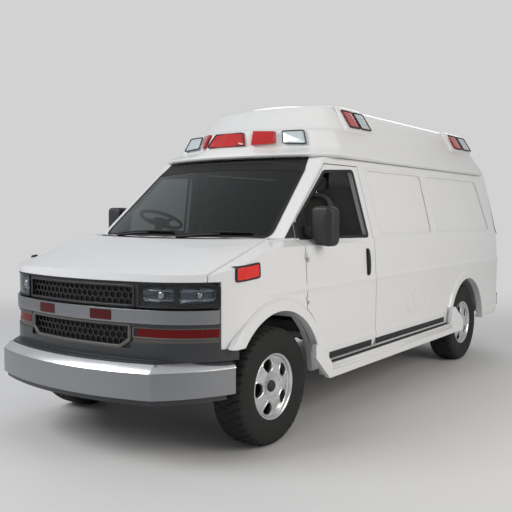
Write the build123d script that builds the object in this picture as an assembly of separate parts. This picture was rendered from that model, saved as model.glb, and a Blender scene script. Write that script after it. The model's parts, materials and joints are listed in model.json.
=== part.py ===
from build123d import *
import os

# Raised-roof ambulance van, right-hand drive. Millimetres, +Z up, the front towards -Y,
# +X to the vehicle's left. While modelling, y is measured from the front axle; each piece
# is moved to the middle of the vehicle's length when it is written.

os.makedirs("parts", exist_ok=True)

# ---- driving sizes -------------------------------------------------------------------
wheelbase = 3429
front_overhang = 985
rear_overhang = 1120
track_half = 858              # from the middle to the tyre's centre plane
front_well_x = track_half - 298   # the wheel wells' inner ends, with room to steer in front
rear_well_x = track_half - 156
body_length = front_overhang + wheelbase + rear_overhang
front_axle_y = front_overhang - body_length / 2

tyre_radius = 387
tyre_width = 245
bead_radius = 205
rim_half_width = 95
axle_z = tyre_radius

wall = 45                     # doors, pillars and body sides
door_skin = 15                # outer skin of a door, past its inner box
door_step = 16                # how far the inner box stays inside the skin
sheet = 25                    # hood, fenders and nose pieces
liner = 12                    # wheel arch liners
panel_gap = 6
running_gap = 0.3
cab_roof = 35
dash_half = 880

sill_z = 386
floor_z = 680
floor_thickness = 40
crease_z = 1000
belt_z = 1316
gutter_z = 1935
cab_rear_y = 1380
body_rear_y = wheelbase + rear_overhang - 124
corner_y = body_rear_y - 80   # where the body sides end and the rear frame starts

arch_radius = 496
rear_arch_radius = 460
flare_width = 82
flare_depth = 18

# half section of the body side: x and z, from the sill to the gutter
body_half = ((985, sill_z), (1000, 430), (1006, 560), (1000, 592), (1004, 965), (1011, crease_z),
             (1000, 1035), (985, 1290), (968, 1330), (850, 1870), (832, gutter_z))

belt_edge_z = 1330            # above this the cab narrows towards the windshield
cab_taper = 0.067             # inwards for each millimetre ahead of its rear end
taper_rear_y = cab_rear_y - 80

# nose outline seen from above, right half: y at x
nose_front_y = -840
nose_mid = (620, -752)
nose_corner = (880, -575)
nose_side = (1000, -330)

# windshield
glass_base_z = 1340
glass_base_half = 792
glass_base_y = 166
glass_middle_y = 0
glass_lean = 1.2              # rearwards for each millimetre up
glass_thickness_y = 10

# nose pieces
nose_depth = 70               # depth of grille and lamps below the nose's surface
carrier_half = 930
carrier_rear_y = -495
bar_z = (857, 940)
marker_z = (742, 838)
cover_top_z = 702
flare_low_z = 560
bumper_depth = 64

step_inner_x, step_outer_x = 1026, 1060

# hood
hood_front_z = 1162
hood_rear_z = 1340
hood_line_front = (878, -550, 1151)
hood_line_rear = (860, 66, 1342)
hood_lip_z = 1105

# steering and hinges
steer_axis_x = track_half - 58
hub_face_x = 61.7             # wheel seat, outside the tyre's centre plane
hinge_leaf = 26
hinge_radius = 5
hinge_out = 1012              # side hinge axes, from the middle
hinge_levels = (892, 1185)
front_door_hinge_y = 350
rear_door_axis = (822, body_rear_y + 15)
hood_axis = (62, 1316)        # y and z


# ---- helpers -------------------------------------------------------------------------
def polygon(points, radius=0):
    if radius:
        return Face(FilletPolyline(*points, radius=radius, close=True).wire())
    return Face(Wire.make_polygon([Vector(*p) for p in points], close=True))


def side_prism(points, x0, x1, radius=0):
    face = polygon([(x0, y, z) for y, z in points], radius)
    return Part() + Solid.extrude(face, Vector(x1 - x0, 0, 0))


def front_prism(points, y0, y1, radius=0):
    face = polygon([(x, y0, z) for x, z in points], radius)
    return Part() + Solid.extrude(face, Vector(0, y1 - y0, 0))


def plan_prism(points, z0, z1, radius=0):
    face = polygon([(x, y, z0) for x, y in points], radius)
    return Part() + Solid.extrude(face, Vector(0, 0, z1 - z0))


def block(x0, x1, y0, y1, z0, z1):
    return Pos((x0 + x1) / 2, (y0 + y1) / 2, (z0 + z1) / 2) * Box(abs(x1 - x0), abs(y1 - y0), abs(z1 - z0))


def rod_x(x0, x1, y, z, radius):
    return Pos((x0 + x1) / 2, y, z) * Rot(0, 90, 0) * Cylinder(radius, abs(x1 - x0))


def rod_y(x, y0, y1, z, radius):
    return Pos(x, (y0 + y1) / 2, z) * Rot(90, 0, 0) * Cylinder(radius, abs(y1 - y0))


def rod_z(x, y, z0, z1, radius):
    return Pos(x, y, (z0 + z1) / 2) * Cylinder(radius, abs(z1 - z0))


def mirrored(shape):
    return Part() + mirror(shape, about=Plane.YZ)


def both(shape):
    return Part() + shape + mirror(shape, about=Plane.YZ)


def save(name, shape):
    export_step(Pos(0, front_axle_y, 0) * shape, f"parts/{name}.step")


def below(point_a, point_b, point_c, drop=0):
    # a large block whose top face passes through three points
    a, b, c = (Vector(*p) for p in (point_a, point_b, point_c))
    normal = (b - a).cross(c - a).normalized()
    if normal.Z < 0:
        normal = normal * -1
    top = Plane(origin=a - normal * drop, z_dir=normal)
    return top * Box(6000, 6000, 1500, align=(Align.CENTER, Align.CENTER, Align.MAX))


def side_hinge(y, towards):
    # leaf on the door, knuckle on the body beside it; towards is +1 with the door rearwards
    leaf, knuckle = Part(), Part()
    for z in hinge_levels:
        middle, top = z + hinge_leaf, z + 2 * hinge_leaf + running_gap
        leaf += rod_z(hinge_out, y, z, middle, hinge_radius)
        leaf += block(980, hinge_out, y, y + towards * 24, z, middle)
        knuckle += rod_z(hinge_out, y, middle + running_gap, top, hinge_radius)
        knuckle += block(hinge_out - 2, hinge_out + 4, y - towards * 26, y, middle + running_gap, top)
        knuckle += block(980, hinge_out + 4, y - towards * 26, y - towards * 12, middle + running_gap, top)
    return leaf, knuckle


# ---- body envelope -------------------------------------------------------------------
def body_points(depth, y):
    # half section of the body at a depth below its surface, narrowed over the cab
    shift = cab_taper * max(taper_rear_y - y, 0)
    return [(x - depth - (shift if z >= belt_edge_z else 0), z) for x, z in body_half]


def along_body(section, y0, y1):
    # solid through a section that is a function of y: tapered over the cab, straight behind it
    solid = Part()
    if y0 < taper_rear_y:
        end = min(y1, taper_rear_y)
        solid += loft([polygon([(x, y, z) for x, z in section(y)]) for y in (y0, end)], ruled=True)
    if y1 > taper_rear_y:
        solid += front_prism(section(y1), max(y0, taper_rear_y), y1)
    return solid


def side_band(y0, y1, depth0, depth1):
    # left body side between two depths below its outer surface
    return along_body(lambda y: body_points(depth0, y) + body_points(depth1, y)[::-1], y0, y1)


def body_form(y0, y1, depth=0, low_z=sill_z):
    # the whole body, closed, at a depth below its surface
    def section(y):
        half = [(body_half[0][0] - depth, low_z)] + body_points(depth, y)[1:]
        return half + [(-x, z) for x, z in reversed(half)]
    return along_body(section, y0, y1)


def nose_face(inset, z):
    corner = ThreePointArc((nose_mid[0], nose_mid[1], z), (nose_corner[0], nose_corner[1], z),
                           (nose_side[0], nose_side[1], z))
    front = ThreePointArc((-nose_mid[0], nose_mid[1], z), (0, nose_front_y, z), (nose_mid[0], nose_mid[1], z))
    other = ThreePointArc((-nose_side[0], nose_side[1], z), (-nose_corner[0], nose_corner[1], z),
                          (-nose_mid[0], nose_mid[1], z))
    rear_y = 420
    left = Line((nose_side[0], nose_side[1], z), (nose_side[0] + 12, rear_y, z))
    back = Line((nose_side[0] + 12, rear_y, z), (-nose_side[0] - 12, rear_y, z))
    right = Line((-nose_side[0] - 12, rear_y, z), (-nose_side[0], nose_side[1], z))
    face = Face(Wire([front, corner, left, back, right, other]))
    return offset(face, -inset, kind=Kind.INTERSECTION).face() if inset else face


def nose_prism(inset, z0, z1):
    return Part() + Solid.extrude(nose_face(inset, z0), Vector(0, 0, z1 - z0))


def nose_band(inset0, inset1, z0, z1):
    return nose_prism(inset0, z0, z1) - nose_prism(inset1, z0 - 1, z1 + 1)


def glass_prism(shift):
    # everything behind the windshield's surface moved rearwards by shift, from the base up
    half = glass_base_half + 300
    rise = 700
    radius = (glass_base_half ** 2 + (glass_base_y - glass_middle_y) ** 2) / (2 * (glass_base_y - glass_middle_y))
    side_y = glass_middle_y + radius - (radius ** 2 - half ** 2) ** 0.5
    z = glass_base_z - 40
    back = -40 * glass_lean + shift
    front = ThreePointArc((-half, side_y + back, z), (0, glass_middle_y + back, z), (half, side_y + back, z))
    rest = Polyline((half, side_y + back, z), (half, 3200, z), (-half, 3200, z), (-half, side_y + back, z))
    return Part() + Solid.extrude(Face(Wire([front] + rest.edges())), Vector(0, glass_lean * rise, rise))


def hood_top(drop):
    # the crowned hood surface, extruded down to well below it
    lift = -drop
    front = ThreePointArc((-930, -560, 1146 + lift), (0, -900, hood_front_z - 13 + lift), (930, -560, 1146 + lift))
    rear = ThreePointArc((-905, 80, 1345 + lift), (0, -30, hood_rear_z + lift), (905, 80, 1345 + lift))
    return Part() + Solid.extrude(Face.make_surface_from_curves(front.edge(), rear.edge()), Vector(0, 0, -600))


# ---- outlines on the body side: y and z ----------------------------------------------
front_door_outline = ((346, 830), (346, 1440), (865, 1880), (1322, 1880), (cab_rear_y - 6, belt_z),
                      (cab_rear_y - 6, 530), (1325, 465), (596, 465), (560, 545))
front_window_outline = ((385, 1335), (1296, 1330), (1240, 1846), (838, 1826), (385, 1455))
quarter_outline = ((222, 1343), (338, 1343), (338, 1442))   # fixed trim ahead of the door
quarter_trim = 3
sail_rear_y = 505
mirror_y = (457, 569)
mirror_section = ((956, 1342), (1000, 1290), (1096, 1281), (1122, 1312), (1122, 1530), (1092, 1561),
                  (976, 1561), (956, 1541))
side_door_front_y = cab_rear_y + 72
side_door_rear_y = wheelbase - 791
side_door_y = (side_door_front_y, (side_door_front_y + side_door_rear_y) / 2, side_door_rear_y)
side_door_z = (465, 1868)
panel_seam_y = side_door_rear_y   # between the two recessed panels
side_panel_recess = (((cab_rear_y + 63, 1868), (cab_rear_y + 142, 1330), (panel_seam_y - 51, 1330), (panel_seam_y - 92, 1868)),
                     ((panel_seam_y + 50, 1868), (panel_seam_y + 95, 1330), (body_rear_y - 203, 1330), (body_rear_y - 375, 1868)))


def grown(points, amount, x):
    face = polygon([(x, y, z) for y, z in points])
    return offset(face, amount, kind=Kind.INTERSECTION).face()


def outline_prism(points, amount, x0, x1):
    return Part() + Solid.extrude(grown(points, amount, x0), Vector(x1 - x0, 0, 0))


def body_door(outline, y0, y1):
    skin = side_band(y0, y1, 0, door_skin) & outline_prism(outline, 0, 500, 1200)
    box = side_band(y0, y1, door_skin, wall) & outline_prism(outline, -door_step, 500, 1200)
    return Part() + skin + box


def arch_cut(y, radius, x0, x1):
    return rod_x(x0, x1, y, axle_z, radius)


def arch_flare(y, radius, low_z_front, low_z_rear):
    # lip round a wheel arch, chamfered on its outer edge
    outer = radius + flare_width
    x0, x1 = 965, 1004 + flare_depth
    ring = rod_x(x0, x1, y, axle_z, outer)
    ring = chamfer(ring.edges().filter_by(GeomType.CIRCLE).sort_by(Axis.X)[-1], 16)
    ring = Part() + ring - rod_x(x0 - 1, x1 + 1, y, axle_z, radius)
    ring -= block(x0 - 1, x1 + 1, y - outer - 5, y, -400, low_z_front)
    ring -= block(x0 - 1, x1 + 1, y, y + outer + 5, -400, low_z_rear)
    return ring


# ---- body pieces ---------------------------------------------------------------------
def cab_frame():
    # windshield surround: a leaning slab with the glass opening
    surround = glass_prism(0) - glass_prism(70)
    envelope = body_form(-200, 1700)
    surround = (surround & envelope) & block(-1100, 1100, -200, 1400, glass_base_z, gutter_z)
    surround -= glass_opening(-300, 1400)
    sides = side_band(-100, cab_rear_y, 0, wall) & glass_prism(0)
    sides &= block(700, 1100, -100, cab_rear_y, glass_base_z, gutter_z)
    door_gap = outline_prism(front_door_outline, panel_gap, 500, 1200) & side_band(200, 1500, -5, wall + panel_gap)
    sides, surround = sides - door_gap, surround - door_gap - mirrored(door_gap)
    roof = block(-800, 800, 600, cab_rear_y, gutter_z - cab_roof, gutter_z) & glass_prism(50) & envelope
    post = side_band(302, 338, sheet + 1, 85) & block(dash_half + 4, 1100, 290, 345, 882, glass_base_z)
    kick = side_prism(((300, 940), (338, 940), (700, floor_z - floor_thickness), (700, sill_z + 10),
                       (480, sill_z + 10), (430, 640), (300, 800)), 900, 940)
    kick -= arch_cut(0, arch_radius + liner + running_gap, 850, 1000)
    sill = side_band(596, cab_rear_y, 0, wall) & block(900, 1100, 596, cab_rear_y, sill_z, 459)
    upright = block(900, 940, 596, cab_rear_y, sill_z + 10, floor_z - floor_thickness)
    ledge = block(900, 970, 596, cab_rear_y, sill_z + 10, 440)
    return Part() + surround + roof + both(Part() + sides + post + kick + sill + upright + ledge)


def glass_opening(y0, y1):
    return front_prism(((-800, 1350), (800, 1350), (715, 1872), (380, 1912), (-380, 1912), (-715, 1872)),
                       y0, y1, radius=50)


def windshield():
    pane = glass_prism(0) - glass_prism(glass_thickness_y)
    return pane & glass_opening(-300, 1400)


def side_panel():
    panel = side_band(cab_rear_y, corner_y, 0, wall)
    rail = block(740, 832, cab_rear_y, corner_y, gutter_z - 35, gutter_z)
    panel = Part() + panel + rail
    panel -= arch_cut(wheelbase, rear_arch_radius, 900, 1100)
    panel += arch_flare(wheelbase, rear_arch_radius, sill_z, sill_z)
    return panel


def side_recesses():
    recess = side_band(cab_rear_y, corner_y, -2, 6)
    cuts = Part()
    for outline in side_panel_recess:
        cuts += recess & side_prism(outline, 500, 1200, radius=25)
    return cuts


def side_door_outline(y0, y1):
    return ((y0, side_door_z[0]), (y1, side_door_z[0]), (y1, side_door_z[1]), (y0, side_door_z[1]))


def rear_frame():
    full = list(body_half) + [(-x, z) for x, z in reversed(body_half)]
    frame = front_prism(full, corner_y, body_rear_y)
    inner = [(x - wall, z) for x, z in body_half]
    inner = inner + [(-x, z) for x, z in reversed(inner)]
    hollow = front_prism(inner, corner_y - 1, body_rear_y - wall)
    frame -= hollow & block(-1100, 1100, corner_y - 100, body_rear_y + 75, sill_z + 30, gutter_z - 35)
    frame -= block(-rear_door_axis[0] - 3, rear_door_axis[0] + 3, corner_y - 5, body_rear_y + 5, 612, 1903)
    knuckle = Part()
    for z in rear_hinge_levels:
        low, top = z + hinge_leaf + running_gap, z + 2 * hinge_leaf + running_gap
        knuckle += rod_z(*rear_door_axis, low, top, hinge_radius)
        knuckle += block(rear_door_axis[0], rear_door_axis[0] + 24, body_rear_y - 4, rear_door_axis[1], low, top)
    return frame + both(knuckle)


def rear_door():
    left, right = panel_gap / 2, rear_door_axis[0] - 4
    skin = block(left, right, body_rear_y - door_skin, body_rear_y, 618, 1897)
    box = block(left + door_step, right - door_step, body_rear_y - wall, body_rear_y - door_skin, 634, 1881)
    window = front_prism(rear_window, body_rear_y - wall - 5, body_rear_y + 5, radius=50)
    leaf = Part()
    for z in rear_hinge_levels:
        leaf += rod_z(*rear_door_axis, z, z + hinge_leaf, hinge_radius)
        leaf += block(right - 24, right + 4, body_rear_y - 10, rear_door_axis[1], z, z + hinge_leaf)
    return Part() + skin + box - window + leaf


rear_hinge_levels = (800, 1700)
rear_window = ((110, 1290), (720, 1290), (700, 1800), (110, 1800))


def rear_glass():
    return front_prism(rear_window, body_rear_y - 24, body_rear_y - 16, radius=50)


def fender_form(inset, low_z=sill_z):
    # closed form of both fenders with the nose, at a depth below its surface
    plane_points = (hood_line_front, hood_line_rear, (985, 66, 1327))
    form = body_form(-900, 400, inset, low_z) & nose_prism(inset, low_z, 1500)
    return form & below(*plane_points, drop=inset)


def fender():
    skin = (fender_form(0) - fender_form(sheet, 100)) & block(0, 1100, -900, 338, sill_z, glass_base_z)
    gap = panel_gap
    hood_side = ((0, -900), (hood_line_front[0] + gap, -900), (hood_line_front[0] + gap, -550),
                 (hood_line_rear[0] + gap, 66), (hood_line_rear[0] + gap, 400), (0, 400))
    skin -= plan_prism(hood_side, hood_lip_z - 5, 1500)
    skin -= block(0, carrier_half, -900, carrier_rear_y, 300, hood_lip_z)
    skin -= block(0, 1100, -900, -250, 300, cover_top_z)
    skin += arch_flare(0, arch_radius, cover_top_z, flare_low_z)
    lining = rod_x(front_well_x, 985, 0, axle_z, arch_radius + liner) - rod_x(front_well_x - 10, 990, 0, axle_z, arch_radius)
    lining &= block(front_well_x - 60, 1000, -600, 260, cover_top_z, 1000)
    skin = skin + lining - arch_cut(0, arch_radius, front_well_x - 60, 1100)
    skin -= side_marker()
    skin += rod_x(815 + running_gap, 880, *hood_axis, hinge_radius)
    return skin


def side_marker():
    outline = ((-418, 1100), (-205, 1116), (-205, 1206), (-418, 1190))
    return (fender_form(-6) - fender_form(12, 100)) & side_prism(outline, 930, 1100, radius=12)


def hood():
    top = hood_top(0) & nose_prism(0, hood_lip_z, 1500)
    hollow = hood_top(sheet) & nose_prism(sheet, hood_lip_z - 20, 1500)
    x0, x1 = hood_line_front[0], hood_line_rear[0]
    rear = ThreePointArc((-x1, 66, 1000), (0, -62, 1000), (x1, 66, 1000))
    rest = Polyline((x1, 66, 1000), (x0, -550, 1000), (x0, -1000, 1000), (-x0, -1000, 1000), (-x0, -550, 1000),
                    (-x1, 66, 1000))
    region = Part() + Solid.extrude(Face(Wire([rear] + rest.edges())), Vector(0, 0, 500))
    leaf = rod_x(780, 815, *hood_axis, hinge_radius) + block(780, 815, 36, 62, 1312, 1321)
    knuckle_room = both(rod_x(815, 880, *hood_axis, hinge_radius + 5))
    return Part() + ((top - hollow) & region) - knuckle_room + both(leaf)


# ---- raised roof ---------------------------------------------------------------------
cap_top_z = 2442
cap_rim_z = gutter_z + 18
cap_wall = 30
cap_half_width = 876          # at the rim
cap_corner = 110              # cut off the two rear corners
cap_slope = 272 / 420         # inwards for each millimetre up
lip_front_y = 640
lip_round = 3220              # the lip's plan is y = x squared over this
lip_x = (0, 190, 300, 450, 600, 740)
lip_top_z = gutter_z + 28
lamp_foot_z = gutter_z + 87   # foot and top of the slanted face that carries the front lamps
lamp_top_z = gutter_z + 226
ledge_z = gutter_z + 255
brow_z = cap_top_z - 57

# plan of the front at each level, from the middle outwards, then where the straight side starts
lamp_foot = ((0, 700), (190, 716), (243, 742), (374, 865), (427, 895), (668, 945), 1080)
lamp_top = ((0, 775), (170, 788), (225, 815), (350, 905), (403, 935), (643, 1000), 1150)
ledge = ((0, 930), (170, 948), (225, 960), (350, 1005), (403, 1030), (651, 1180), 1290)
brow = ((0, 1165), (170, 1175), (225, 1182), (350, 1215), (403, 1235), (554, 1300), 1400)

pod_height = 26
pod_outline = ((0, lamp_foot_z + 165), (45, brow_z + 8), (440, brow_z + 8), (470, lamp_foot_z + 165))
front_pod_y = 1335
rear_pod_y = body_rear_y - 795
rear_pod_stretch = 1.32
lamp_thickness = 18
lamp_lean = 12                # of the side lamps' ends, towards the back
red_lamp_thickness = 30
centre_lamp = ((-188, gutter_z + 106), (188, gutter_z + 106), (137, gutter_z + 213), (-137, gutter_z + 213))
red_front_lamp = ((243, gutter_z + 107), (374, gutter_z + 123), (352, gutter_z + 222), (222, gutter_z + 222))
clear_front_lamp = ((427, gutter_z + 127), (626, gutter_z + 112), (579, gutter_z + 224), (405, gutter_z + 224))
side_lamp_z = (lamp_foot_z + 192, lamp_foot_z + 334)
rear_lamp_z = (cap_top_z - 180, cap_top_z - 90)
red_side_lamp = (60, 232)     # along the pod, from its front end
clear_side_lamp = (254, 426)


def cap_ring(z, front, setback, rear_inset, share, grow):
    # outline of the roof at one level, moved outwards by grow; share narrows it for the crown
    half = (cap_half_width - max(z - lip_top_z, 0) * cap_slope) * share
    rear_y = body_rear_y - rear_inset
    points = [(x * share, y + setback) for x, y in front[:-1]] + [(half, front[-1] + setback)]
    points = [(x * (1 + grow / cap_half_width), y - grow) for x, y in points]
    points += [(half + grow, rear_y - cap_corner), (half - cap_corner * share, rear_y + grow)]
    return points + [(-x, y) for x, y in reversed(points) if x > 0]


def cap_solid(grow):
    # ruled loft from the rim to the crown, all its faces moved outwards by grow
    lip = [(x, lip_front_y + x * x / lip_round) for x in lip_x] + [1000]
    foot_z = gutter_z if grow >= 0 else gutter_z - 20
    levels = ((foot_z, lip, 12, 42, 0.985), (cap_rim_z, lip, 0, 30, 1), (lip_top_z, lip, 0, 30, 1),
              (lamp_foot_z, lamp_foot, 0, 40, 1), (lamp_top_z, lamp_top, 0, 56, 1), (ledge_z, ledge, 0, 60, 1),
              (brow_z, brow, 0, 125, 1), (cap_top_z - 14 + min(grow, 0), brow, 190, 200, 0.5),
              (cap_top_z + min(grow, 0), brow, 330, 330, 0.1))
    rings = []
    for z, front, setback, rear_inset, share in levels:
        ring = cap_ring(z, front, setback, rear_inset, share, grow)
        rings.append(polygon([(x, y, z) for x, y in ring]))
    return Part() + loft(rings, ruled=True)


def roof_cap():
    cavity = cap_solid(-cap_wall) - block(-900, 900, 500, cab_rear_y + 10, gutter_z - 30, gutter_z + 25)
    pods = Part()
    for start_y, stretch in ((front_pod_y, 1), (rear_pod_y, rear_pod_stretch)):
        outline = [(start_y + y * stretch, z) for y, z in pod_outline]
        pods += (cap_solid(pod_height) - cap_solid(-5)) & side_prism(outline, 0, 1100)
    return cap_solid(0) + both(pods) - cavity


def cap_layer(low, high):
    # a layer that lies on the roof, between two heights above its surface
    return cap_solid(high) - cap_solid(low)


def front_lamp(outline):
    return front_prism(outline, lip_front_y, 1100)


def side_lamps(along):
    (y0, y1), (z0, z1) = along, side_lamp_z
    lamps = Part()
    for start_y, stretch in ((front_pod_y, 1), (rear_pod_y, rear_pod_stretch)):
        corners = ((y0, z0), (y0 + lamp_lean, z1), (y1 + lamp_lean, z1), (y1, z0))
        lamps += side_prism([(start_y + y * stretch, z) for y, z in corners], 0, 1100)
    return both(lamps)


def rear_lamp(x0, x1):
    return block(x0, x1, body_rear_y - 300, body_rear_y, *rear_lamp_z)


# ---- nose pieces ---------------------------------------------------------------------
def headlamps():
    lamp = nose_band(3, nose_depth, 952, 1100) & block(522, carrier_half, -900, carrier_rear_y, 940, 1110)
    return both(lamp)


cell_pitch = 46               # honeycomb of the grille, across the flats and the web between
cell_web = 7
grille_reach = 160            # the nose curves back this far, with the mesh's depth
smallest_cell = 80            # square millimetres; less than that is filled
hexagon = ((0, 1), (-0.866, 0.5), (-0.866, -0.5), (0, -1), (0.866, -0.5), (0.866, 0.5))
mesh_rebate = 3               # the honeycomb's edge sits this deep in its frame
mesh_depth = (20, 32)         # of the honeycomb, below the nose's surface
upper_mesh = ((-476, 964), (476, 964), (476, 1072), (-476, 1072))
lower_mesh = ((-381, 712), (381, 712), (446, 757), (446, 838), (-446, 838), (-446, 757))


def honeycomb(outline):
    # a plate with a hexagonal cell at each place of a staggered grid, cut off at its outline
    opening = polygon([(x, nose_front_y, z) for x, z in outline])
    plate = offset(opening, mesh_rebate, kind=Kind.INTERSECTION).face()
    low, high, half = outline[0][1], outline[-2][1], max(x for x, _ in outline)
    middle_z = (low + high) / 2
    row_step = cell_pitch * 3 ** 0.5 / 2
    radius = (cell_pitch - cell_web) / 3 ** 0.5
    rows, columns = int((high - low) / 2 / row_step) + 1, int(half / cell_pitch) + 1
    inside, holes = offset(opening, -1, kind=Kind.INTERSECTION).face(), []
    for row in range(-rows, rows + 1):
        for column in range(-columns, columns + 1):
            x, z = (column + row % 2 / 2) * cell_pitch, middle_z + row * row_step
            cell = polygon([(x + radius * a, nose_front_y, z + radius * b) for a, b in hexagon]) & inside
            holes += [part.outer_wire() for part in (cell.faces() if cell else []) if part.area > smallest_cell]
    return Part() + Solid.extrude(Face(plate.outer_wire(), holes), Vector(0, grille_reach, 0))


def grille():
    upper = nose_band(8, nose_depth, 951, 1100) & block(-519, 519, -900, -500, 940, 1110)
    lower = nose_band(8, nose_depth, cover_top_z, 855) & block(-470, 470, -900, -500, cover_top_z, 860)
    body = Part() + upper + lower
    for outline in (upper_mesh, lower_mesh):
        body -= front_prism(outline, -1000, -400)
        body += nose_band(*mesh_depth, cover_top_z, 1100) & honeycomb(outline)
    back = nose_depth - 1
    spine = nose_band(30, back, 850, 955) + nose_band(back - 8, back, cover_top_z + 3, 1097)
    return body + (spine & block(-465, 465, nose_front_y, -500, 700, 1110))


def grille_bar():
    end_x = carrier_half - 3
    bar = nose_band(-14, 30, *bar_z) & block(-end_x, end_x, -1000, -506, 850, 945)
    web = nose_band(29, nose_depth, *bar_z) & both(block(470, end_x, -900, -500, 850, 945))
    return Part() + bar + web


def front_markers():
    lower = nose_band(6, nose_depth, *marker_z) & block(478, carrier_half, -900, -498, 730, 845)
    return both(lower) + both(side_marker())


def bumper_face(inset, z):
    front = ThreePointArc((-700, -862, z), (0, -985, z), (700, -862, z))
    left = ThreePointArc((700, -862, z), (872, -655, z), (985, -425, z))
    right = ThreePointArc((-985, -425, z), (-872, -655, z), (-700, -862, z))
    back = Polyline((985, -425, z), (985, -300, z), (-985, -300, z), (-985, -425, z))
    face = Face(Wire([front, left] + back.edges() + [right]))
    return offset(face, -inset, kind=Kind.INTERSECTION).face() if inset else face


def bumper_prism(inset, z0, z1):
    return Part() + Solid.extrude(bumper_face(inset, z0), Vector(0, 0, z1 - z0))


def front_bumper():
    beam = bumper_prism(0, 430, 586)
    crown = loft([bumper_face(0, 586), bumper_face(52, 632)])
    whole = Part() + beam + crown - bumper_prism(bumper_depth, 420, 640)
    return whole & block(-1100, 1100, -1100, -430, 400, 700)


def bumper_cover():
    cover = nose_band(-6, 34, 632 + running_gap, cover_top_z) & block(-1100, 1100, -1100, -400, 500, 760)
    shelf = (bumper_prism(bumper_depth, 606, 640) - nose_prism(34, 600, 650)) & block(-1100, 1100, -1100, -500, 500, 760)
    side = nose_band(-6, nose_depth, cover_top_z, marker_z[0]) & block(470, carrier_half, -1100, carrier_rear_y, 690, 750)
    top = nose_band(-6, nose_depth, marker_z[1], bar_z[0]) & block(470, carrier_half, -1100, carrier_rear_y, 830, 860)
    lip = (bumper_prism(22, 396, 430) - bumper_prism(70, 390, 440)) & block(-1100, 1100, -1100, -470, 380, 440)
    return Part() + cover + shelf + both(side), lip, both(top)


def nose_carrier():
    panel = nose_band(nose_depth, nose_depth + 20, 640, 1100)
    panel &= block(-carrier_half, carrier_half, -900, carrier_rear_y, 600, 1110)
    return panel - block(-430, 430, -900, -500, 720, 1080)


# ---- wheels --------------------------------------------------------------------------
def turned(profile):
    # profile of (radius, x) points turned about the X axis
    face = polygon([(x, r, 0) for r, x in profile])
    return Part() + Solid.revolve(face, 360, Axis.X)


def tyre():
    half = tyre_width / 2
    edge = rim_half_width
    profile = [(bead_radius, -edge), (bead_radius, edge), (bead_radius + 20, edge + 3), (bead_radius + 50, half - 8),
               (310, half), (352, half - 4), (376, half - 20), (tyre_radius, half - 44),
               (tyre_radius, -half + 44), (376, -half + 20), (352, -half + 4), (310, -half),
               (bead_radius + 50, -half + 8), (bead_radius + 20, -edge - 3)]
    return turned(profile)


wheel_windows = 5
window_outline = ((-22, 118), (22, 118), (46, 160), (38, 184), (-38, 184), (-46, 160))


def rim():
    seat, edge = bead_radius - 0.01, rim_half_width
    barrel = turned([(seat - 12, -edge - 4), (seat, -edge - 4), (seat, edge + 4), (seat - 12, edge + 4)])
    lip = turned([(seat - 12, edge - 2), (seat + 12, edge + 5), (seat + 14, edge + 9), (seat - 4, edge + 7),
                  (seat - 12, edge + 4)])
    dish = turned([(0, 84), (62, 84), (66, 76), (112, 70), (150, 52), (178, 58), (seat - 6, 62),
                   (seat - 6, 50), (178, 46), (146, 40), (108, 58), (62, 62), (0, 62)])
    for i in range(wheel_windows):
        dish -= Rot(360 * (i + 0.5) / wheel_windows, 0, 0) * side_prism(window_outline, 30, 80, radius=10)
    return Part() + barrel + lip + dish


# ---- floor, bulkhead and inside -------------------------------------------------------
def inner_form(depth, y0, y1, z0, z1):
    half = [(x - depth, z) for x, z in body_half]
    return front_prism(half + [(-x, z) for x, z in reversed(half)], y0, y1) & block(-1100, 1100, y0, y1, z0, z1)


cot_half = 280                # raised plate that the cot's fastener stands on
cot_y = (wheelbase - 1079, body_rear_y - 175)
cot_top_z = floor_z + 6


def floor_pan():
    low = floor_z - floor_thickness
    pan = inner_form(wall, 300, body_rear_y - wall, low, floor_z)
    for y0, y1 in ((290, cab_rear_y + 6), (side_door_y[0] - 8, side_door_y[2] + 8)):
        pan -= block(-1100, -942, y0, y1, low - 5, floor_z + 5)
    pan -= block(942, 1100, 290, cab_rear_y + 6, low - 5, floor_z + 5)
    toe_x = front_well_x - 20
    firewall = block(-915, 915, 272, 299.7, 830, 1300) + block(-toe_x, toe_x, 272, 300, low, 840)
    floor = pan + block(-toe_x, toe_x, 272, 310, low, floor_z) + firewall
    kick = block(900, 1100, 290, 702, low - 5, floor_z + 5)
    floor -= both(arch_cut(0, arch_radius + liner + running_gap, toe_x, 1100) + kick)
    well = rod_x(rear_well_x - liner, 955, wheelbase, axle_z, rear_arch_radius + liner)
    well = well & block(rear_well_x - 100, 1000, wheelbase - 629, wheelbase + 671, low, 1000)
    hollow = rod_x(rear_well_x, 1000, wheelbase, axle_z, rear_arch_radius)
    cot_plate = block(-cot_half, cot_half, *cot_y, floor_z, cot_top_z)
    return floor + both(well) - both(hollow) + cot_plate


def bulkhead():
    plate = inner_form(wall, cab_rear_y + 20, cab_rear_y + 45, floor_z, bulkhead_top_z)
    return plate - block(-230, 230, cab_rear_y, cab_rear_y + 80, floor_z + 30, bulkhead_top_z - 90)


bulkhead_top_z = 1715
seat_x = 450
steering_centre = (-470, 462, 1458)
steering_tilt = 24


def dashboard():
    outline = ((300, 1300), (300, 1000), (420, 960), (560, 1000), (610, 1120), (590, 1230), (480, 1300), (340, 1316))
    return side_prism(outline, -dash_half, dash_half)


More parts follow.
